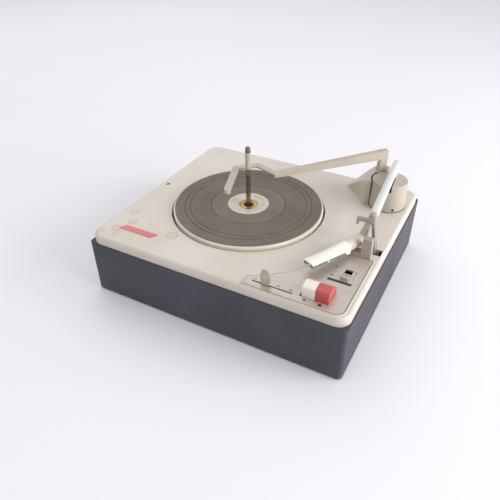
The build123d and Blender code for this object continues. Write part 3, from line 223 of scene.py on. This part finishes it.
def covered_case():
    """The plinth's dark covering, a fine pebbled grain, rubbed along the edges."""
    paint = Paint("case_covering", 0.62)
    pebbles = paint.cells(1500.0)
    clouds = paint.noise(9.0, 5.0)
    dust = paint.sharpen(paint.noise(55.0, 6.0, roughness=0.7), 0.56, 0.8)
    body = paint.mix(paint.sharpen(clouds, 0.3, 0.7), shade(73, 71, 81), shade(63, 61, 70))
    body = paint.mix(paint.maths("MULTIPLY", dust, 0.16), body, shade(128, 126, 132))
    split = paint.add("ShaderNodeSeparateXYZ")
    paint.join(paint.place, split.inputs["Vector"])
    foot = paint.sharpen(split.outputs["Z"], 0.007, 0.0015)
    rubbed = paint.maths("MULTIPLY", foot, paint.sharpen(paint.noise(130.0, 4.0), 0.46, 0.62))
    paint.tint(paint.mix(paint.maths("MULTIPLY", rubbed, 0.55), body, shade(122, 112, 104)))
    paint.gloss(paint.ranged(clouds, 0.52, 0.68))
    paint.bump((pebbles, 0.35, 0.0003), (paint.noise(2600.0, 2.0), 0.2, 0.0001))
    return paint.material


def deck_paint():
    """Stoved cream enamel with clouds of age, ring stains, a worn place and specks."""
    paint = Paint("deck_enamel", 0.42, coat=0.1)
    clouds = paint.noise(7.0, 5.0, roughness=0.6)
    warm = paint.noise(16.0, 3.0)
    body = paint.mix(paint.sharpen(clouds, 0.32, 0.68), shade(216, 210, 200), shade(206, 198, 186))
    body = paint.mix(paint.maths("MULTIPLY", paint.sharpen(warm, 0.55, 0.8), 0.5), body, shade(205, 193, 176))
    for x, y, radius, strength in RING_STAINS:
        wobble = paint.maths("MULTIPLY", paint.maths("SUBTRACT", paint.noise(120.0, 2.0), 0.5), 0.004)
        uneven = paint.maths("ADD", paint.reach(x, y), wobble)
        away = paint.maths("ABSOLUTE", paint.maths("SUBTRACT", uneven, radius), 0.0)
        ring = paint.sharpen(away, 0.0013, 0.0002)
        inside = paint.maths("MULTIPLY", paint.sharpen(paint.reach(x, y), radius, radius * 0.6), 0.3)
        mark = paint.maths("MULTIPLY", paint.maths("MAXIMUM", ring, inside), strength)
        body = paint.mix(mark, body, shade(168, 143, 112))
    specks = paint.sharpen(paint.noise(210.0, 3.0, roughness=0.7), 0.70, 0.78)
    body = paint.mix(paint.maths("MULTIPLY", specks, 0.45), body, shade(140, 120, 96))
    worn = paint.sharpen(paint.reach(*WORN_PLACE), WORN_RADIUS, WORN_RADIUS * 0.4)
    scuffs = paint.sharpen(paint.noise(480.0, 5.0, roughness=0.75), 0.5, 0.6)
    rubbed = paint.maths("MULTIPLY", paint.maths("MULTIPLY", worn, scuffs), 0.85)
    body = paint.mix(rubbed, body, shade(240, 238, 236))
    flecks = paint.sharpen(paint.noise(900.0, 2.0), 0.62, 0.68)
    chipped = paint.maths("MULTIPLY", paint.maths("MULTIPLY", worn, flecks), 0.5)
    body = paint.mix(chipped, body, shade(120, 112, 104))
    paint.tint(body)
    paint.gloss(paint.ranged(clouds, 0.36, 0.52))
    paint.bump((paint.noise(800.0, 2.0), 0.06, 0.0002), (paint.noise(22.0, 2.0), 0.05, 0.0008))
    return paint.material


def brushed_panel():
    """Aluminium brushed along the front edge, with a soft clear finish."""
    paint = Paint("brushed_panel", 0.42, metallic=0.55)
    lines = paint.noise(1.0, 5.0, stretch=(60.0, 2600.0, 60.0), roughness=0.7)
    broad = paint.noise(1.0, 3.0, stretch=(10.0, 420.0, 10.0))
    clouds = paint.noise(20.0, 4.0)
    body = paint.mix(paint.sharpen(lines, 0.3, 0.7), shade(216, 208, 199), shade(192, 184, 175))
    body = paint.mix(paint.maths("MULTIPLY", paint.sharpen(broad, 0.45, 0.7), 0.35), body, shade(174, 165, 154))
    specks = paint.sharpen(paint.noise(260.0, 3.0), 0.69, 0.77)
    paint.tint(paint.mix(paint.maths("MULTIPLY", specks, 0.4), body, shade(120, 112, 108)))
    paint.gloss(paint.ranged(clouds, 0.34, 0.5))
    paint.bump((lines, 0.18, 0.0001))
    return paint.material


def ribbed_rubber(name, light, dark):
    """Old brown-grey rubber with fine round ribs, darker between them, dusty, paler inside the label ring."""
    paint = Paint(name, 0.7)
    reach = paint.reach(platter_axis.x, platter_axis.y)
    ribs = paint.maths("SINE", paint.maths("MULTIPLY", reach, 2.0 * math.pi / RIB_PITCH), 0.0)
    clouds = paint.noise(26.0, 5.0, roughness=0.65)
    label = paint.sharpen(reach, LABEL_RADIUS, LABEL_RADIUS - 0.001)
    body = paint.mix(paint.sharpen(clouds, 0.3, 0.72), light, dark)
    body = paint.mix(paint.maths("MULTIPLY", label, 0.3), body, shade(146, 137, 125))
    # Darker in the troughs between the ribs.
    body = paint.mix(paint.maths("MULTIPLY", paint.sharpen(ribs, 0.2, -1.0), 0.3), body, shade(78, 71, 64))
    dust = paint.sharpen(paint.noise(420.0, 3.0, roughness=0.7), 0.62, 0.76)
    paint.tint(paint.mix(paint.maths("MULTIPLY", dust, 0.35), body, shade(170, 162, 150)))
    paint.gloss(paint.ranged(clouds, 0.6, 0.8))
    paint.bump((ribs, 0.6, 0.0002), (paint.noise(1400.0, 2.0), 0.15, 0.0001))
    return paint.material


def plain_rubber():
    """Black rubber with a dull bloom."""
    paint = Paint("black_rubber", 0.75)
    clouds = paint.noise(60.0, 4.0)
    paint.tint(paint.mix(clouds, shade(26, 26, 27), shade(52, 51, 50)))
    paint.bump((paint.noise(900.0, 2.0), 0.2, 0.0002))
    return paint.material


def wood_board(name, light, dark):
    """Pressed board or sawn wood with long fibres."""
    paint = Paint(name, 0.8)
    grain = paint.noise(6.0, 6.0, stretch=(30.0, 2.0, 2.0), roughness=0.65)
    paint.tint(paint.mix(paint.sharpen(grain, 0.3, 0.7), light, dark))
    paint.bump((grain, 0.3, 0.0004))
    return paint.material


def milky_plastic():
    """Cloudy clear plastic, as the speed lever and the arm's neck are."""
    paint = Paint("milky_plastic", 0.28, coat=0.3)
    clouds = paint.noise(130.0, 4.0)
    paint.tint(paint.mix(paint.sharpen(clouds, 0.3, 0.7), shade(214, 207, 192), shade(180, 172, 156)))
    paint.shader.inputs["Subsurface Weight"].default_value = 0.25
    paint.shader.inputs["Subsurface Radius"].default_value = (0.002, 0.0018, 0.0015)
    paint.shader.inputs["Transmission Weight"].default_value = 0.25
    paint.bump((paint.noise(500.0, 2.0), 0.1, 0.0002))
    return paint.material


def printed_ink():
    """Dark grey ink, slightly worn."""
    paint = Paint("printed_ink", 0.55)
    wear = paint.noise(700.0, 3.0)
    paint.tint(paint.mix(paint.sharpen(wear, 0.5, 0.8), shade(46, 42, 44), shade(84, 79, 78)))
    paint.bump((wear, 0.05, 0.0001))
    return paint.material


# Places and sizes of the painted marks, in metres
LABEL_RADIUS = 0.0507
RIB_PITCH = 0.0016
WORN_PLACE = (0.102, -0.026)
WORN_RADIUS = 0.016
# Each stain's place in plan, its radius and its strength
RING_STAINS = (
    (-0.1411, -0.1032, 0.0058, 0.60), (-0.0768, -0.1061, 0.0070, 0.62), (-0.1513, -0.1249, 0.0055, 0.50),
    (-0.1545, -0.0818, 0.0058, 0.52), (-0.1669, -0.1392, 0.0050, 0.42), (-0.1433, -0.1343, 0.0050, 0.45),
)

deck_enamel = deck_paint()
case_covering = covered_case()
panel_metal = brushed_panel()
mat_rubber = ribbed_rubber("mat_rubber", shade(124, 115, 104), shade(106, 98, 88))
black_rubber = plain_rubber()
cream = moulded("cream_plastic", shade(222, 214, 200), shade(210, 200, 184))
fairing_beige = moulded("fairing_plastic", shade(196, 184, 167), shade(184, 171, 154), roughness=0.42)
taupe = moulded("rest_plastic", shade(176, 164, 150), shade(160, 148, 134), roughness=0.42)
hub_beige = moulded("hub_enamel", shade(205, 196, 182), shade(194, 184, 169), roughness=0.34, coat=0.25)
rim_paint = moulded("rim_enamel", shade(228, 221, 209), shade(216, 207, 193), roughness=0.32, coat=0.3)
ivory = moulded("ivory_plastic", shade(244, 239, 226), shade(235, 228, 212), roughness=0.3, coat=0.35)
head_white = moulded("head_plastic", shade(246, 242, 232), shade(236, 230, 216), roughness=0.32, coat=0.3)
red = moulded("red_plastic", shade(203, 84, 84), shade(188, 68, 70), roughness=0.3, coat=0.35)
badge_enamel = moulded("badge_enamel", shade(222, 116, 116), shade(208, 100, 102), roughness=0.3, coat=0.3)
turret_beige = moulded("turret_plastic", shade(184, 175, 161), shade(172, 162, 147), roughness=0.4)
grey_beige = moulded("grey_beige_plastic", shade(188, 179, 164), shade(174, 164, 149), roughness=0.36)
warm_dark = moulded("warm_dark_plastic", shade(120, 106, 92), shade(98, 86, 74))
strip_grey = moulded("strip_grey_plastic", shade(124, 117, 110), shade(100, 94, 88), roughness=0.5)
brown = moulded("brown_plastic", shade(84, 54, 36), shade(62, 38, 24), roughness=0.4)
cavity = moulded("dark_cavity", shade(24, 22, 22), shade(16, 15, 15), roughness=0.8, coat=0.0)
wrap = moulded("copper_wrap", shade(134, 84, 48), shade(104, 62, 34), roughness=0.5)
tube_silver = moulded("tube_silver", shade(232, 231, 233), shade(222, 221, 224), roughness=0.3, coat=0.3)
tube_silver.node_tree.nodes["Principled BSDF"].inputs["Metallic"].default_value = 0.35
bright_steel = turned_metal("bright_steel", shade(200, 196, 190), shade(160, 156, 150))
lock_steel = turned_metal("lock_steel", shade(196, 192, 188), shade(158, 154, 150), roughness=0.38)
dark_steel = turned_metal("dark_steel", shade(98, 92, 88), shade(70, 66, 62), roughness=0.4)
spindle_bronze = turned_metal("spindle_bronze", shade(176, 156, 134), shade(138, 118, 98), roughness=0.25,
                              streak=(600.0, 600.0, 12.0))
brass = turned_metal("brass_worn", shade(196, 166, 110), shade(150, 122, 78))
zinc = turned_metal("die_cast_zinc", shade(150, 150, 150), shade(120, 120, 120), roughness=0.5)
board = wood_board("hardboard", shade(118, 88, 62), shade(92, 66, 44))
block_wood = wood_board("sawn_wood", shade(176, 144, 104), shade(146, 114, 78))
milky = milky_plastic()
ink = printed_ink()

NODE_FINISH = {
    "plinth_case": case_covering, "base_board": board, "rubber_feet": black_rubber,
    "base_screws": bright_steel, "rear_gland": black_rubber, "deck_plate": deck_enamel,
    "corner_blocks": block_wood,
    "deck_springs": bright_steel, "transit_screw": brown, "control_panel": panel_metal,
    "badge_plate": badge_enamel, "start_key": ivory, "stop_key": red, "key_guide": dark_steel,
    "speed_knob": milky, "speed_link": bright_steel, "selector_slider": grey_beige, "arm_rest": taupe,
    "arm_lock": lock_steel, "spindle_stem": spindle_bronze, "spindle_head": grey_beige,
    "spindle_cap": warm_dark, "spindle_latch": bright_steel, "centre_bearing": dark_steel,
    "thrust_race": brass, "platter": rim_paint, "platter_mat": mat_rubber, "hub_cap": hub_beige,
    "drive_pinion": bright_steel, "cam_gear": zinc, "motor_core": dark_steel, "motor_coils": wrap,
    "motor_brackets": bright_steel, "motor_grommets": black_rubber, "motor_rotor": bright_steel,
    "motor_pulley": brass, "idler_tyre": black_rubber, "idler_wheel": zinc, "idler_arm": bright_steel,
    "idler_spring": dark_steel, "trip_slide": bright_steel, "power_switch": brown, "terminal_strip": brown,
    "arm_bearing": brass, "arm_pillar": zinc, "turret_shell": turret_beige, "pivot_pin": bright_steel,
    "pivot_block": zinc, "arm_tube": tube_silver, "counterweight": dark_steel, "arm_elbow": milky,
    "arm_collar": cream, "head_shell": head_white, "cartridge": strip_grey, "stylus_lever": ivory,
    "turret_fairing": fairing_beige, "overarm_bush": brass, "overarm_shaft": bright_steel,
    "overarm_beam": grey_beige, "overarm_hook": grey_beige,
}
for name, finish in NODE_FINISH.items():
    nodes[name].data.materials.clear()
    nodes[name].data.materials.append(finish)


# Ways to make a piece
BEVEL_SEGMENTS = 3
BEVEL_ANGLE = math.radians(32.0)
SHARP_ANGLE = math.radians(40.0)


def add_piece(name, mesh, finish, body, soften=0.0):
    """A mesh as a piece that rides on a CAD body, with its edges softened by a width."""
    mesh.materials.append(finish)
    mesh.shade_smooth()
    thing = bpy.data.objects.new(name, mesh)
    bpy.context.scene.collection.objects.link(thing)
    round_edges(thing, soften)
    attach(thing, body)
    return thing


def round_edges(thing, width):
    """Soften a piece's edges, and keep its flat faces flat in the light."""
    if width:
        bevel = thing.modifiers.new("soft_edges", "BEVEL")
        bevel.width = width
        bevel.segments = BEVEL_SEGMENTS
        bevel.limit_method = "ANGLE"
        bevel.angle_limit = BEVEL_ANGLE
        bevel.harden_normals = True
    else:
        thing.modifiers.new("flat_faces", "WEIGHTED_NORMAL").keep_sharp = True


def finished_mesh(name, form):
    """A mesh from a bmesh, with its faces turned outwards and its sharp edges marked."""
    bmesh.ops.recalc_face_normals(form, faces=form.faces)
    for edge in form.edges:
        edge.smooth = len(edge.link_faces) == 2 and edge.calc_face_angle(0.0) < SHARP_ANGLE
    mesh = bpy.data.meshes.new(name)
    form.to_mesh(mesh)
    form.free()
    return mesh


def turned_disc(x, y, radius, count=24):
    """The points of a circle in plan."""
    turns = [2.0 * math.pi * step / count for step in range(count)]
    return [(x + radius * math.cos(turn), y + radius * math.sin(turn)) for turn in turns]


def profile(points, level):
    """Radius and height pairs in millimetres as a profile in metres, from a level."""
    return [(radius * mm, level + rise * mm) for radius, rise in points]


def lathe(name, outline, axis, segments=96):
    """A ring from a closed profile of radius and level points, turned round an upright axis."""
    form = bmesh.new()
    rows = []
    for step in range(segments):
        turn = 2.0 * math.pi * step / segments
        rows.append([form.verts.new((axis.x + radius * math.cos(turn), axis.y + radius * math.sin(turn), level))
                     for radius, level in outline])
    for row, following in zip(rows, rows[1:] + rows[:1]):
        for index in range(len(outline)):
            after = (index + 1) % len(outline)
            form.faces.new((row[index], following[index], following[after], row[after]))
    return finished_mesh(name, form)


def skin(name, sections):
    """A closed solid through rings of points, each ring with the same number of points."""
    form = bmesh.new()
    rings = [[form.verts.new(point) for point in section] for section in sections]
    count = len(sections[0])
    for low, high in zip(rings, rings[1:]):
        for index in range(count):
            after = (index + 1) % count
            form.faces.new((low[index], low[after], high[after], high[index]))
    form.faces.new(rings[0])
    form.faces.new(rings[-1])
    return finished_mesh(name, form)


def prism(name, outline, bottom, top):
    """A solid from a plan outline between two levels."""
    return skin(name, [[(x, y, level) for x, y in outline] for level in (bottom, top)])


def oblong(left, right, front, back):
    """The corners of a rectangle in plan."""
    return [(left, front), (right, front), (right, back), (left, back)]


# Panel: bead, a dark line of painted shade in the gap round the panel, and printed marks
PANEL_ARC = 0.151
PANEL_CORNER = 0.010
PANEL_STEPS = 24
LINE_RESOLUTION = 3
PRINT = 0.00006
FIGURE_SHARE = 0.7
FIGURE_LINE = -0.1348
FIGURE_HEIGHT = 3.1 * mm
SPEED_MARKS = (("16", 0.0570), ("33", 0.0715), ("45", 0.0856), ("78", 0.1006))
START_MARK = ((0.1190, -0.1430), (0.1226, -0.1411), (0.1190, -0.1392))
STOP_MARK = (0.1362, 0.1398, -0.1430, -0.1394)
SELECTOR_BAR = (0.1287, 0.1570, -0.0965, -0.0925)
SELECTOR_DOTS = ((0.1303, -0.0695, 0.0012), (0.1307, -0.0867, 0.0012), (0.1550, -0.0712, 0.0010))
TICK_LEFT, TICK_RIGHT = 0.1545, 0.1556
TICK_FRONT, TICK_BACK = -0.0755, -0.0748
TICK_PITCH = 0.0028
TICK_COUNT = 5


def panel_outline(grow):
    """Plan points of the panel's outline, grown outwards by a distance."""
    left, right = panel_low.x - grow, panel_high.x + grow
    front, back = panel_low.y - grow, panel_high.y + grow
    arc, corner = PANEL_ARC - grow, PANEL_CORNER + grow
    start = -math.acos((left - platter_axis.x) / arc)
    end = math.asin((back - platter_axis.y) / arc)
    turns = [start + (end - start) * step / PANEL_STEPS for step in range(PANEL_STEPS + 1)]
    points = [(platter_axis.x + arc * math.cos(turn), platter_axis.y + arc * math.sin(turn)) for turn in turns]
    points.append((right, back))
    for step in range(PANEL_STEPS // 2 + 1):
        turn = -math.pi * step / PANEL_STEPS
        points.append((right - corner + corner * math.cos(turn), front + corner + corner * math.sin(turn)))
    points.append((left, front))
    return points


def panel_line(name, grow, level, radius, finish):
    """A round line that follows the panel's outline."""
    curve = bpy.data.curves.new(name, "CURVE")
    curve.dimensions = "3D"
    curve.bevel_depth = radius
    curve.bevel_resolution = LINE_RESOLUTION
    points = panel_outline(grow)
    spline = curve.splines.new("POLY")
    spline.points.add(len(points) - 1)
    spline.points.foreach_set("co", [value for x, y in points for value in (x, y, level, 1.0)])
    spline.use_cyclic_u = True
    curve.materials.append(finish)
    thing = bpy.data.objects.new(name, curve)
    bpy.context.scene.collection.objects.link(thing)
    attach(thing, "chassis")


panel_line("panel_bead", 1.9 * mm, deck_top - 0.3 * mm, 0.95 * mm, deck_enamel)
# The dark line round the panel is painted shade. It stands in for the shadow in the gap between the panel and the
# bead.
panel_line("panel_shade_line", 0.45 * mm, deck_top - 0.3 * mm, 0.42 * mm, warm_dark)


def printed(name, outline):
    """A thin layer of ink on the panel."""
    add_piece(name, prism(name, outline, panel_top - PRINT, panel_top + PRINT), ink, "chassis")


def printed_number(text, x, y, height):
    """A number printed on the panel."""
    curve = bpy.data.curves.new("number_" + text, "FONT")
    curve.body = text
    curve.size = height / FIGURE_SHARE
    curve.align_x = "CENTER"
    curve.extrude = PRINT
    holder = bpy.data.objects.new("holder_" + text, curve)
    mesh = bpy.data.meshes.new_from_object(holder)
    mesh.transform(Matrix.Translation((x, y, panel_top)))
    bpy.data.objects.remove(holder)
    mesh.materials.clear()
    add_piece("number_" + text, mesh, ink, "chassis")


for figures, x in SPEED_MARKS:
    printed_number(figures, x, FIGURE_LINE, FIGURE_HEIGHT)
printed("start_mark", START_MARK)
printed("stop_mark", oblong(*STOP_MARK))
printed("selector_bar", oblong(*SELECTOR_BAR))
for number, (x, y, radius) in enumerate(SELECTOR_DOTS):
    printed("selector_dot_" + str(number), turned_disc(x, y, radius))
for number in range(TICK_COUNT):
    moved = TICK_PITCH * number
    printed("selector_tick_" + str(number), oblong(TICK_LEFT, TICK_RIGHT, TICK_FRONT - moved, TICK_BACK - moved))

# Controls
# Widths of the softened edges of CAD nodes, in millimetres
SOFT_EDGES = {
    "start_key": 0.9, "stop_key": 0.9, "overarm_beam": 0.9, "overarm_hook": 0.5, "arm_rest": 0.6, "arm_lock": 0.4,
    "turret_fairing": 0.7, "cartridge": 0.2, "selector_slider": 0.3, "head_shell": 0.5, "turret_shell": 0.3,
}
for name, width in SOFT_EDGES.items():
    round_edges(nodes[name], width * mm)

knob_low, knob_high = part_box("speed_knob")
knob_centre = middle("speed_knob")
knob_foot = panel_top + 0.3 * mm
knob_rise = knob_high.z - knob_foot
knob_half_width = (knob_high.x - knob_low.x) / 2.0
knob_half_depth = (knob_high.y - knob_low.y) / 2.0
SHANK_HALF_WIDTH = 2.5 * mm
SHANK_HALF_DEPTH = 0.6 * mm
SHANK_SUNK = 1.0 * mm
PADDLE_POWER = 0.55
# Shares of the lever's height, width and depth, from foot to top
PADDLE = ((0.0, 0.86, 1.0), (0.06, 0.90, 0.98), (0.35, 0.98, 0.82), (0.6, 1.0, 0.70), (0.78, 0.95, 0.60),
          (0.9, 0.80, 0.52), (0.97, 0.58, 0.42), (1.0, 0.30, 0.22))


def paddle_section(half_width, half_depth, level, count=20):
    """A rounded section of the speed lever."""
    points = []
    for cosine, sine in turned_disc(0.0, 0.0, 1.0, count):
        points.append((knob_centre.x + half_width * math.copysign(abs(cosine) ** PADDLE_POWER, cosine),
                       knob_centre.y + half_depth * math.copysign(abs(sine) ** PADDLE_POWER, sine), level))
    return points


paddle = add_piece("speed_paddle", skin("speed_paddle", [
    paddle_section(knob_half_width * wide, knob_half_depth * deep, knob_foot + knob_rise * share)
    for share, wide, deep in PADDLE]), milky, "speed")
add_piece("speed_shank", prism("speed_shank", oblong(
    knob_centre.x - SHANK_HALF_WIDTH, knob_centre.x + SHANK_HALF_WIDTH,
    knob_centre.y - SHANK_HALF_DEPTH, knob_centre.y + SHANK_HALF_DEPTH),
    knob_low.z, knob_foot + SHANK_SUNK), bright_steel, "speed")
paddle.modifiers.new("smooth_form", "SUBSURF").render_levels = 2
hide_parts("speed_knob")

slider_low, slider_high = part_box("selector_slider")
slider_middle = (slider_low.x + slider_high.x) / 2.0
RIB_COUNT = 3
RIB_START = 5.0 * mm
RIB_SPACING = 2.0 * mm
RIB_HALF_LENGTH = 3.6 * mm
RIB_WIDTH = 0.8 * mm
RIB_RISE = 2.0 * mm
for number in range(RIB_COUNT):
    place = slider_low.y + RIB_START + RIB_SPACING * number
    add_piece("selector_rib_" + str(number), prism("selector_rib", oblong(
        slider_middle - RIB_HALF_LENGTH, slider_middle + RIB_HALF_LENGTH, place, place + RIB_WIDTH),
        panel_top, panel_top + RIB_RISE), grey_beige, "selector", 0.2 * mm)

# Platter and spindle: turned pieces, as radius and height in millimetres
HUB_DISH = ((6.3, 0.7), (9.5, 0.3), (12.9, 0.1), (12.9, 1.6), (11.6, 1.4), (9.5, 0.9), (7.2, 1.3), (6.3, 1.9))
SPINDLE_FOOT = ((3.2, 1.5), (5.8, 1.5), (5.8, 2.4), (4.6, 3.4), (3.7, 5.2), (3.2, 5.4))
SPINDLE_COLLAR = ((3.2, -12.0), (3.5, -11.6), (3.5, -10.4), (3.2, -10.0))
CAP_BAND = ((3.4, -0.9), (3.7, -0.7), (3.7, 0.1), (3.4, 0.3))
THIN_SEGMENTS = 48
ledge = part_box("spindle_stem")[1].z
cap_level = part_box("spindle_cap")[0].z
head_axis = middle("spindle_cap")
add_piece("hub_dish", lathe("hub_dish", profile(HUB_DISH, mat_level), platter_axis), brass, "platter")
add_piece("spindle_foot", lathe("spindle_foot", profile(SPINDLE_FOOT, mat_level), platter_axis),
          cavity, "chassis")
add_piece("spindle_collar", lathe("spindle_collar", profile(SPINDLE_COLLAR, ledge), platter_axis, THIN_SEGMENTS),
          dark_steel, "chassis")
add_piece("spindle_cap_band", lathe("spindle_cap_band", profile(CAP_BAND, cap_level), head_axis, THIN_SEGMENTS),
          dark_steel, "chassis")

# Turret: dark foot ring of painted shade at the gap round its foot, and screws
FOOT_RING_INSIDE = 2.0 * mm
FOOT_RING_OUTSIDE = 0.35 * mm
FOOT_RING_HEIGHT = 0.7 * mm
ring_inner = turret_radius - FOOT_RING_INSIDE
ring_outer = turret_radius + FOOT_RING_OUTSIDE
ring_top = deck_top + FOOT_RING_HEIGHT
# The near-black ring round the turret's foot is painted shade. It stands in for the shadow in the gap there.
add_piece("turret_foot_shade_ring", lathe("turret_foot_shade_ring", [
    (ring_inner, deck_top), (ring_outer, deck_top), (ring_outer, ring_top), (ring_inner, ring_top)], turret_axis),
    cavity, "chassis")


def screw_head(name, place, direction, radius, body, finish):
    """A plain domed screw head on a face that looks in a direction."""
    turn = direction.to_track_quat("Z", "X").to_matrix().to_4x4()
    mesh = skin(name, [[(x, y, radius * lift) for x, y in turned_disc(0.0, 0.0, radius * share)]
                       for share, lift in SCREW_DOME])
    mesh.transform(Matrix.Translation(place) @ turn)
    return add_piece(name, mesh, finish, body)


# Shares of a screw head's radius: its rings' radius and lift
SCREW_DOME = ((1.0, -0.4), (1.0, 0.1), (0.8, 0.28), (0.4, 0.4))
TURRET_DRAFT = math.tan(math.radians(2.2))
# Each one's name, direction in plan, level, radius and material
TURRET_HEADS = (("turret_screw", -56.0, 0.0930, 1.8 * mm, cavity),
                ("turret_peg", -66.0, 0.100, 1.3 * mm, grey_beige))
for name, angle, level, radius, finish in TURRET_HEADS:
    turn = math.radians(angle)
    outward = Vector((math.cos(turn), math.sin(turn), 0.0))
    away = turret_radius - (level - turret_low.z) * TURRET_DRAFT
    place = Vector((turret_axis.x, turret_axis.y, level)) + outward * away
    screw_head(name, place, outward, radius, "turret", finish)
FAIRING_SCREW = (0.1186, 0.1070)
fairing_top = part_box("turret_fairing")[1].z
screw_head("fairing_screw", Vector((*FAIRING_SCREW, fairing_top)), Vector((0.0, 0.0, 1.0)), 1.6 * mm,
           "chassis", cavity)

# Arm lock: ridges along its bar
RIDGE_COUNT = 3
RIDGE_PITCH = 1.5 * mm
RIDGE_HALF = 0.4 * mm
RIDGE_START = 2.0 * mm
RIDGE_END = 17.0 * mm
RIDGE_SUNK = 0.3 * mm
RIDGE_RISE = 0.25 * mm
lock_low, lock_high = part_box("arm_lock")
lock_middle = (lock_low.y + lock_high.y) / 2.0
for number in range(RIDGE_COUNT):
    side = lock_middle + (number - 1.0) * RIDGE_PITCH
    add_piece("lock_ridge_" + str(number), prism("lock_ridge", oblong(
        lock_low.x + RIDGE_START, lock_low.x + RIDGE_END, side - RIDGE_HALF, side + RIDGE_HALF),
        lock_high.z - RIDGE_SUNK, lock_high.z + RIDGE_RISE), bright_steel, "lock", 0.15 * mm)

# Camera and light, fitted to the photograph
CAMERA_LENS = 36.62
CAMERA_SENSOR = 36.0
CAMERA_PLACE = (0.26464, -0.52881, 0.45342)
CAMERA_AZIMUTH = math.radians(28.46)
CAMERA_ELEVATION = math.radians(35.99)
CAMERA_ROLL = math.radians(-0.34)
WORLD_TINT = (0.95, 0.94, 0.95, 1.0)
WORLD_LIGHT = 0.7
FLOOR_GLOW = 0.06
FLOOR_GLOW_TINT = (1.0, 0.98, 1.0, 1.0)
FLOOR_RADIUS = 6.0
camera_data = bpy.data.cameras.new("photo_camera")
camera_data.lens = CAMERA_LENS
camera_data.sensor_width = CAMERA_SENSOR
camera = bpy.data.objects.new("photo_camera", camera_data)
bpy.context.scene.collection.objects.link(camera)
camera.location = CAMERA_PLACE
camera.rotation_euler = (Matrix.Rotation(CAMERA_AZIMUTH, 4, "Z")
                         @ Matrix.Rotation(math.pi / 2.0 - CAMERA_ELEVATION, 4, "X")
                         @ Matrix.Rotation(CAMERA_ROLL, 4, "Z")).to_euler()
bpy.context.scene.camera = camera


def lamp(name, place, aim, size, power):
    """A square soft light at a place, turned to its aim."""
    data = bpy.data.lights.new(name, "AREA")
    data.shape = "SQUARE"
    data.size = size
    data.energy = power
    light = bpy.data.objects.new(name, data)
    light.location = place
    light.rotation_euler = (Vector(aim) - Vector(place)).to_track_quat("-Z", "Y").to_euler()
    bpy.context.scene.collection.objects.link(light)


lamp("key_light", (-1.2, 0.9, 1.7), (0.0, 0.0, 0.05), 2.2, 11.0)
lamp("side_light", (1.9, 0.2, 0.55), (0.0, 0.0, 0.03), 1.6, 46.0)
lamp("front_light", (-0.9, -1.8, 1.2), (0.0, 0.0, 0.05), 2.2, 2.4)

world = bpy.data.worlds.new("studio")
bpy.context.scene.world = world
world.use_nodes = True
background = world.node_tree.nodes["Background"]
background.inputs["Color"].default_value = WORLD_TINT
background.inputs["Strength"].default_value = WORLD_LIGHT
bpy.context.scene.view_settings.view_transform = "Standard"


def studio_floor():
    """A wide, flat, pale floor that is a little brighter to the camera than its light makes it."""
    paint = Paint("studio_floor", 0.6)
    clouds = paint.noise(2.0, 3.0)
    paint.tint(paint.mix(clouds, shade(236, 234, 239), shade(232, 230, 235)))
    rays = paint.add("ShaderNodeLightPath")
    glow = paint.maths("MULTIPLY", rays.outputs["Is Camera Ray"], FLOOR_GLOW)
    paint.shader.inputs["Emission Color"].default_value = FLOOR_GLOW_TINT
    paint.join(glow, paint.shader.inputs["Emission Strength"])
    mesh = bpy.data.meshes.new("floor")
    form = bmesh.new()
    bmesh.ops.create_circle(form, cap_ends=True, radius=FLOOR_RADIUS, segments=96)
    form.to_mesh(mesh)
    form.free()
    mesh.materials.append(paint.material)
    floor = bpy.data.objects.new("floor", mesh)
    bpy.context.scene.collection.objects.link(floor)


studio_floor()
